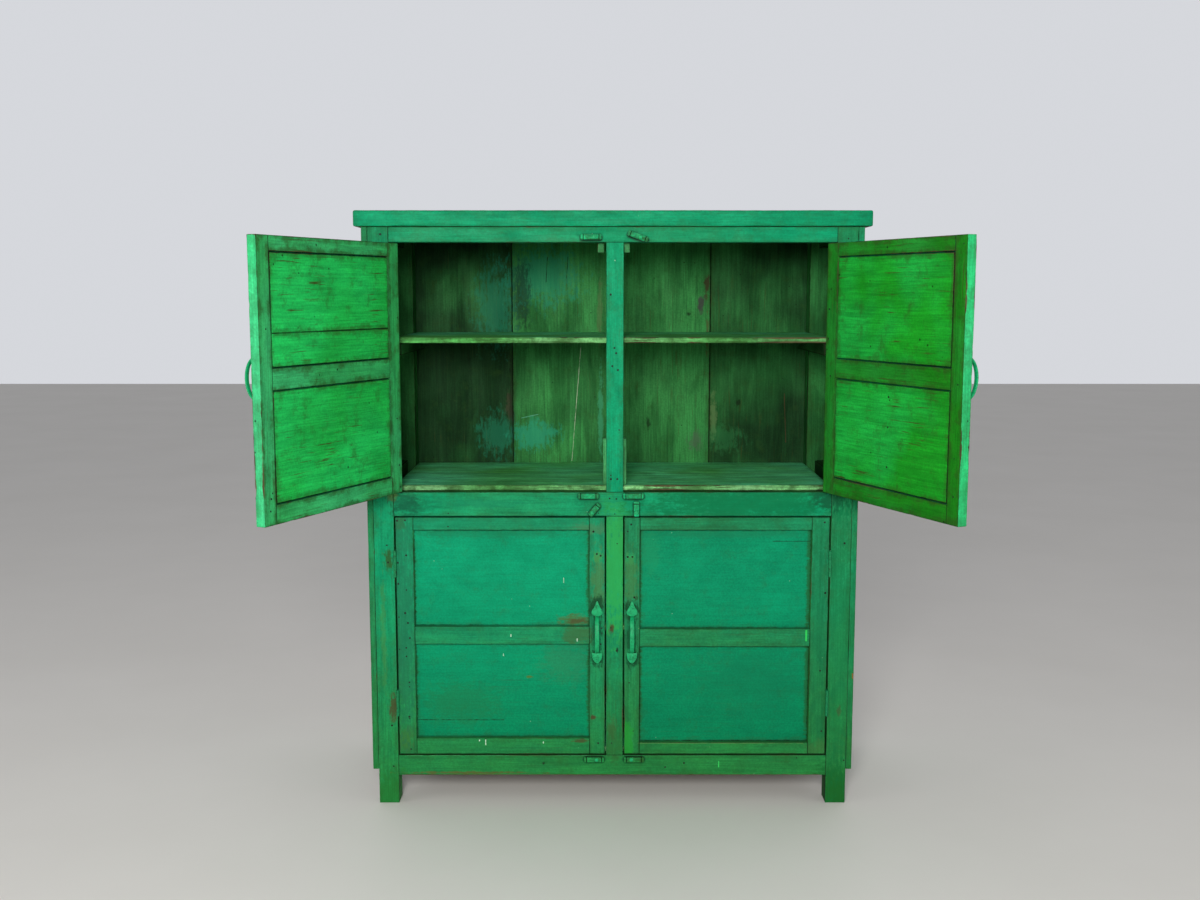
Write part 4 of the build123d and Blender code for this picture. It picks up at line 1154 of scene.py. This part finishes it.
class CABINET_OT_buttons(bpy.types.Operator):
    """Makes the turn buttons with rounded edges"""

    bl_idname = "cabinet.buttons"
    bl_label = "Turn buttons"

    def execute(self, context):
        seed = context.scene.cabinet_timber.seed
        for order, body in enumerate(name for name in frame["bodies"] if name.startswith("turn_button")):
            joint = joint_of(body)
            shape = bmesh.new()
            shape.from_mesh(frame["nodes"][body].data)
            bmesh.ops.remove_doubles(shape, verts=shape.verts, dist=0.01 * MM)
            bmesh.ops.dissolve_limit(shape, angle_limit=math.radians(1), verts=shape.verts, edges=shape.edges)
            piece = place_mesh(f"{body}_timber", shape, Matrix.Identity(4), 0.5 * MM, 2, "button_paint")
            mesh = piece.data
            count = len(mesh.vertices)
            places = np.zeros(count * 3, np.float32)
            mesh.vertices.foreach_get("co", places)
            places = places.reshape(-1, 3) - np.array(joint["pos_m"], np.float32)
            carry(mesh, "grain", places + order * 3.1 + seed, "FLOAT_VECTOR")
            # Faces more than 0.9 mm behind the front get rim 0, so the paint darkens the button's sides: dirt and
            # painted shade that outline it.
            sunk = places[:, 1] - places[:, 1].min()
            rim = np.where(sunk > 0.9 * MM, 0.0, 5 * MM)
            for label, values in (("rim", rim), ("seam", np.ones(count)), ("tone", np.full(count, -0.5))):
                carry(mesh, label, values)
            settle(piece, body, [body])
        return {"FINISHED"}


# ---------------------------------------------------------------- screws and nails

# Head radius, head height, shank radius and length in mm, whether it has a slot, and its number of sides.
HEADS = {
    "nail": (3.0, 0.5, 1.2, 10, False, 12),
    "pin": (2.1, 0.28, 0.6, 4, False, 10),
    "screw": (4.5, 2.0, 2.0, 20, True, 20),
    "small_screw": (2.6, 0.1, 1.5, 12, False, 12),
}


def head_mesh(name, radius, height, shank, length, slotted, sides):
    """A fastener on the Z axis: a domed head above Z 0 and a shank below it."""
    radius, height, shank, length = radius * MM, height * MM, shank * MM, length * MM
    shape = bmesh.new()
    profile = [(0.0, height), (0.45 * radius, height * 0.93), (0.75 * radius, height * 0.72),
               (0.94 * radius, height * 0.38), (radius, 0.0), (shank, -0.05 * MM), (shank, -length), (0.0, -length)]
    rings = []
    for away, up in profile:
        if away == 0:
            rings.append([shape.verts.new((0, 0, up))])
        else:
            rings.append([shape.verts.new((away * math.cos(2 * math.pi * i / sides),
                                           away * math.sin(2 * math.pi * i / sides), up)) for i in range(sides)])
    for first, second in zip(rings, rings[1:]):
        for i in range(sides):
            j = (i + 1) % sides
            if len(first) == 1:
                shape.faces.new((first[0], second[i], second[j]))
            elif len(second) == 1:
                shape.faces.new((first[j], first[i], second[0]))
            else:
                shape.faces.new((first[i], second[i], second[j], first[j]))
    if slotted:
        for vert in shape.verts:
            if vert.co.z > height * 0.3 and abs(vert.co.y) < 0.13 * radius:
                vert.co.z -= height * 0.55
    bmesh.ops.recalc_face_normals(shape, faces=shape.faces)
    mesh = bpy.data.meshes.new(name)
    shape.to_mesh(mesh)
    shape.free()
    mesh.shade_smooth()
    return mesh


def fastener_tree(name):
    """A tree that sets a fastener on every point, along the point's "outward" direction, each with its own turn."""
    tree = bpy.data.node_groups.new(name, "GeometryNodeTree")
    sockets = (("Geometry", "NodeSocketGeometry", None), ("Fastener", "NodeSocketObject", None),
               ("Size", "NodeSocketFloat", 1.0), ("Size Spread", "NodeSocketFloat", 0.1),
               ("Seed", "NodeSocketInt", 3), ("Finish", "NodeSocketMaterial", None))
    for label, kind, default in sockets:
        socket = tree.interface.new_socket(label, in_out="INPUT", socket_type=kind)
        if default is not None:
            socket.default_value = default
    tree.interface.new_socket("Geometry", in_out="OUTPUT", socket_type="NodeSocketGeometry")
    given = tree.nodes.new("NodeGroupInput")
    result = tree.nodes.new("NodeGroupOutput")
    outward = add(tree, "GeometryNodeInputNamedAttribute", {"Name": "outward"}, data_type="FLOAT_VECTOR")
    align = add(tree, "FunctionNodeAlignRotationToVector", {"Vector": outward.outputs[0]}, axis="Z")
    spin = add(tree, "FunctionNodeRandomValue", {"Seed": given.outputs["Seed"]}, data_type="FLOAT")
    spin.inputs[3].default_value = 2 * math.pi
    about = add(tree, "FunctionNodeAxisAngleToRotation", {"Axis": (0, 0, 1), "Angle": spin.outputs[1]})
    turned = add(tree, "FunctionNodeRotateRotation", {"Rotation": align.outputs[0], "Rotate By": about.outputs[0]},
                 rotation_space="LOCAL")
    smaller = add(tree, "ShaderNodeMath", {0: given.outputs["Size"], 1: given.outputs["Size Spread"]},
                  operation="SUBTRACT")
    larger = add(tree, "ShaderNodeMath", {0: given.outputs["Size"], 1: given.outputs["Size Spread"]},
                 operation="ADD")
    size = add(tree, "FunctionNodeRandomValue", {"Seed": given.outputs["Seed"]}, data_type="FLOAT")
    tree.links.new(smaller.outputs[0], size.inputs[2])
    tree.links.new(larger.outputs[0], size.inputs[3])
    shape = add(tree, "GeometryNodeObjectInfo", {"Object": given.outputs["Fastener"]})
    cloud = add(tree, "GeometryNodeMeshToPoints", {"Mesh": given.outputs["Geometry"]})
    laid = add(tree, "GeometryNodeInstanceOnPoints", {"Points": cloud.outputs[0],
               "Instance": shape.outputs["Geometry"], "Rotation": turned.outputs[0], "Scale": size.outputs[1]})
    real = add(tree, "GeometryNodeRealizeInstances", {"Geometry": laid.outputs[0]})
    painted = add(tree, "GeometryNodeSetMaterial", {"Geometry": real.outputs[0],
                  "Material": given.outputs["Finish"]})
    tree.links.new(painted.outputs[0], result.inputs[0])
    return tree


def set_fasteners(name, tree, places, fastener, finish, size=1.0, spread=0.1, seed=3):
    """Fasteners at (point, direction) places, as one plain mesh object."""
    mesh = bpy.data.meshes.new(name)
    mesh.from_pydata([tuple(point) for point, _ in places], [], [])
    carry(mesh, "outward", [tuple(way) for _, way in places], "FLOAT_VECTOR")
    piece = put(name, mesh)
    modifier = piece.modifiers.new("fasteners", "NODES")
    modifier.node_group = tree
    wanted = {"Fastener": fastener, "Size": size, "Size Spread": spread, "Seed": seed,
              "Finish": material(finish)}
    for item in tree.interface.items_tree:
        if item.in_out == "INPUT" and item.name in wanted:
            modifier[item.identifier] = wanted[item.name]
    bake_modifiers(piece)
    return piece


def pattern_object(name):
    """A fastener outside the scene's collections, for instancing only."""
    return bpy.data.objects.new(name, head_mesh(name, *HEADS[name]))


def board_nail_places():
    """Where the CAD nails' heads are, and the way they face."""
    places = []
    for low, high in solids("board_nails"):
        size = high - low
        axis = max(range(3), key=lambda i: size[i])
        middle = (low + high) / 2
        sign = 1 if axis == 2 or middle[axis] > 0 else -1
        way = Vector((0, 0, 0))
        way[axis] = sign
        head = middle.copy()
        head[axis] = high[axis] if sign > 0 else low[axis]
        places.append((head - way * 0.2 * MM, way))
    return places


def face_nails(rng, box, count, side, margin=7.0):
    """Nail places scattered over the front or the back of a member."""
    low, high = box
    y = low[1] if side < 0 else high[1]
    places = []
    for _ in range(count):
        x = rng.uniform(low[0] + margin * MM, high[0] - margin * MM)
        z = rng.uniform(low[2] + margin * MM, high[2] - margin * MM)
        places.append((Vector((x, y - side * 0.25 * MM, z)), Vector((0, side, 0))))
    return places


FRONT_HOLES = {
    "carcass": ((-5, 1223), (4, 1100), (8, 1088), (-1, 1058), (12, 1049), (15, 909), (-4, 802), (-4, 793),
                (11, 793), (-7, 747), (9, 746), (5, 710), (-33, 712), (11, 639), (-4, 435), (10, 379), (-2, 150),
                (-533, 635), (-531, 594), (-530, 194), (-540, 1010), (-528, 92), (559, 107), (548, 640),
                (-533, 1360), (-166, 100), (173, 100), (445, 113), (-387, 712), (128, 90), (540, 1350)),
    "door_lower_left": ((-508, 694), (-489, 695), (-488, 611), (-508, 593), (-508, 542), (-489, 527), (-508, 461),
                        (-493, 471), (-487, 447), (-483, 410), (-492, 386), (-508, 382), (-492, 365), (-486, 301),
                        (-486, 290), (-488, 216), (-487, 211), (-485, 135), (-37, 614), (-28, 610), (-26, 434),
                        (-25, 422), (-42, 419), (-45, 668), (-28, 395), (-388, 680), (-34, 150)),
    "door_lower_right": ((36, 607), (47, 607), (52, 509), (52, 395), (44, 685), (36, 668), (50, 180), (500, 690),
                         (505, 520), (497, 330), (503, 180), (40, 300)),
}


def front_holes(body):
    """The old nail holes of the front of a body."""
    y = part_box("post_front_left")[0].y
    return [(Vector((x * MM, y + 0.25 * MM, z * MM)), Vector((0, -1, 0))) for x, z in FRONT_HOLES[body]]


class CABINET_OT_fasteners(bpy.types.Operator):
    """Sets the nails and screws"""

    bl_idname = "cabinet.fasteners"
    bl_label = "Nails and screws"

    def execute(self, context):
        rng = np.random.default_rng(context.scene.cabinet_timber.seed + 900)
        tree = fastener_tree("fasteners_on_points")
        nail, pin, screw, small = [pattern_object(name) for name in HEADS]

        nails = set_fasteners("board_nail_heads", tree, board_nail_places(), nail, "dark_iron")
        settle(nails, "carcass", ["board_nails"])

        button_screws = []
        for low, high in solids("turn_button_screws"):
            middle = (low + high) / 2
            button_screws.append((Vector((middle.x, low.y + 1.8 * MM, middle.z)), Vector((0, -1, 0))))
        screws = set_fasteners("turn_button_screw_heads", tree, button_screws, screw, "painted_iron", spread=0.0)
        settle(screws, "carcass", ["turn_button_screws"])

        pins = set_fasteners("front_pins", tree, front_holes("carcass"), pin, "dark_iron", spread=0.25)
        settle(pins, "carcass", [])

        for door in DOORS:
            closing = shut(door)
            opening = closing.inverted()
            big_places, small_places = [], []
            for low, high in solids(f"{door}_screws", closing):
                size, middle = high - low, (low + high) / 2
                if size.y > size.x:
                    big_places.append((Vector((middle.x, low.y + 1.8 * MM, middle.z)), Vector((0, -1, 0))))
                else:
                    way = -1 if "left" in door else 1
                    edge = low.x if way < 0 else high.x
                    small_places.append((Vector((edge - way * 0.1 * MM, middle.y, middle.z)), Vector((way, 0, 0))))
            pins = front_holes(door) if door in FRONT_HOLES else []
            if door == "door_upper_right":
                low, high = solids(f"{door}_panels", closing)[0]
                pins += [(Vector(((low.x + high.x) / 2, high.y - 0.25 * MM, high.z - share * (high.z - low.z))),
                          Vector((0, 1, 0))) for share in (0.14, 0.41, 0.77)]
            for box in solids(f"{door}_stiles", closing):
                if door not in FRONT_HOLES:
                    pins += face_nails(rng, box, 8, -1)
                pins += face_nails(rng, box, 4, 1)
            parts = [set_fasteners("handle_screws", tree, big_places, screw, "painted_iron", spread=0.0),
                     set_fasteners("leaf_screws", tree, small_places, small, "painted_iron", spread=0.0)]
            heads = join_pieces(parts, f"{door}_screw_heads")
            heads.data.transform(opening)
            settle(heads, door, [f"{door}_screws"])
            tacks = set_fasteners(f"{door}_pins", tree, pins, pin, "dark_iron", spread=0.25)
            tacks.data.transform(opening)
            settle(tacks, door, [])
        return {"FINISHED"}


# ---------------------------------------------------------------- stage

class CABINET_OT_stage(bpy.types.Operator):
    """Sets the floor, the light and the camera"""

    bl_idname = "cabinet.stage"
    bl_label = "Floor, light and camera"

    def execute(self, context):
        stage = context.scene.cabinet_stage
        scene = context.scene
        half = 14.0
        mesh = bpy.data.meshes.new("floor")
        mesh.from_pydata([(-half, -half, 0), (half, -half, 0), (half, half, 0), (-half, half, 0)], [],
                         [(0, 1, 2, 3)])
        floor = put("floor", mesh)
        new, tree, shader = start_material("pale_floor")
        place = add(tree, "ShaderNodeTexCoord").outputs["Object"]
        mottle = noise(tree, place, 1.5, 4.0, 0.6)
        tree.links.new(blend(tree, mottle, tint("e4e0da"), tint("dad6cf")), shader.inputs["Base Color"])
        shader.inputs["Roughness"].default_value = 0.75
        mesh.materials.append(new)

        world = bpy.data.worlds.new("pale_surroundings")
        world.use_nodes = True
        tree = world.node_tree
        background = tree.nodes["Background"]
        background.inputs["Color"].default_value = (0.93, 0.95, 1.0, 1.0)
        way = add(tree, "ShaderNodeTexCoord").outputs["Generated"]
        depth = add(tree, "ShaderNodeSeparateXYZ", {0: way}).outputs[1]
        tree.links.new(ramp(tree, depth, -0.1, 0.6, stage.sky_front, stage.sky_back),
                       background.inputs["Strength"])
        scene.world = world

        for name, spot, size, power in (("key_light", (-0.35, -4.2, 1.95), 1.3, stage.key_power),
                                        ("left_light", (-4.2, -2.0, 2.4), 2.2, stage.left_power),
                                        ("right_light", (4.2, -2.0, 2.4), 2.2, stage.right_power)):
            light = bpy.data.lights.new(name, "AREA")
            light.shape = "DISK"
            light.size = size
            light.energy = power
            lamp = put(name, light)
            lamp.location = spot
            aim = Vector((0, 0, 0.8)) - Vector(spot)
            lamp.rotation_euler = aim.to_track_quat("-Z", "Y").to_euler()

        camera = bpy.data.cameras.new("camera")
        camera.lens = stage.lens
        camera.sensor_width = 36.0
        camera.clip_end = 100.0
        eye = put("camera", camera)
        eye.location = stage.place
        eye.rotation_euler = (math.pi / 2 - stage.pitch, 0.0, 0.0)
        scene.camera = eye
        scene.view_settings.view_transform = "Standard"
        return {"FINISHED"}


class CABINET_PT_panel(bpy.types.Panel):
    """Lists the steps and the settings"""

    bl_label = "Painted pantry cabinet"
    bl_idname = "CABINET_PT_panel"
    bl_space_type = "VIEW_3D"
    bl_region_type = "UI"
    bl_category = "Cabinet"

    def draw(self, context):
        for step in STEPS:
            self.layout.operator(step.bl_idname)
        for group in (context.scene.cabinet_paint, context.scene.cabinet_timber, context.scene.cabinet_stage):
            column = self.layout.column()
            for key in group.__annotations__:
                column.prop(group, key)


STEPS = (CABINET_OT_stage, CABINET_OT_frame, CABINET_OT_boards, CABINET_OT_levels, CABINET_OT_doors,
         CABINET_OT_handles, CABINET_OT_hinges, CABINET_OT_buttons, CABINET_OT_fasteners)
GROUPS = (("cabinet_paint", CabinetPaint), ("cabinet_timber", CabinetTimber), ("cabinet_stage", CabinetStage))


def register():
    for name, group in GROUPS:
        bpy.utils.register_class(group)
        setattr(bpy.types.Scene, name, PointerProperty(type=group))
    for step in STEPS:
        bpy.utils.register_class(step)
    bpy.utils.register_class(CABINET_PT_panel)


def unregister():
    bpy.utils.unregister_class(CABINET_PT_panel)
    for step in reversed(STEPS):
        bpy.utils.unregister_class(step)
    for name, group in reversed(GROUPS):
        delattr(bpy.types.Scene, name)
        bpy.utils.unregister_class(group)


def main():
    register()
    for step in STEPS:
        family, name = step.bl_idname.split(".")
        getattr(getattr(bpy.ops, family), name)()
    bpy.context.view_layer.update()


if __name__ == "__main__":
    main()
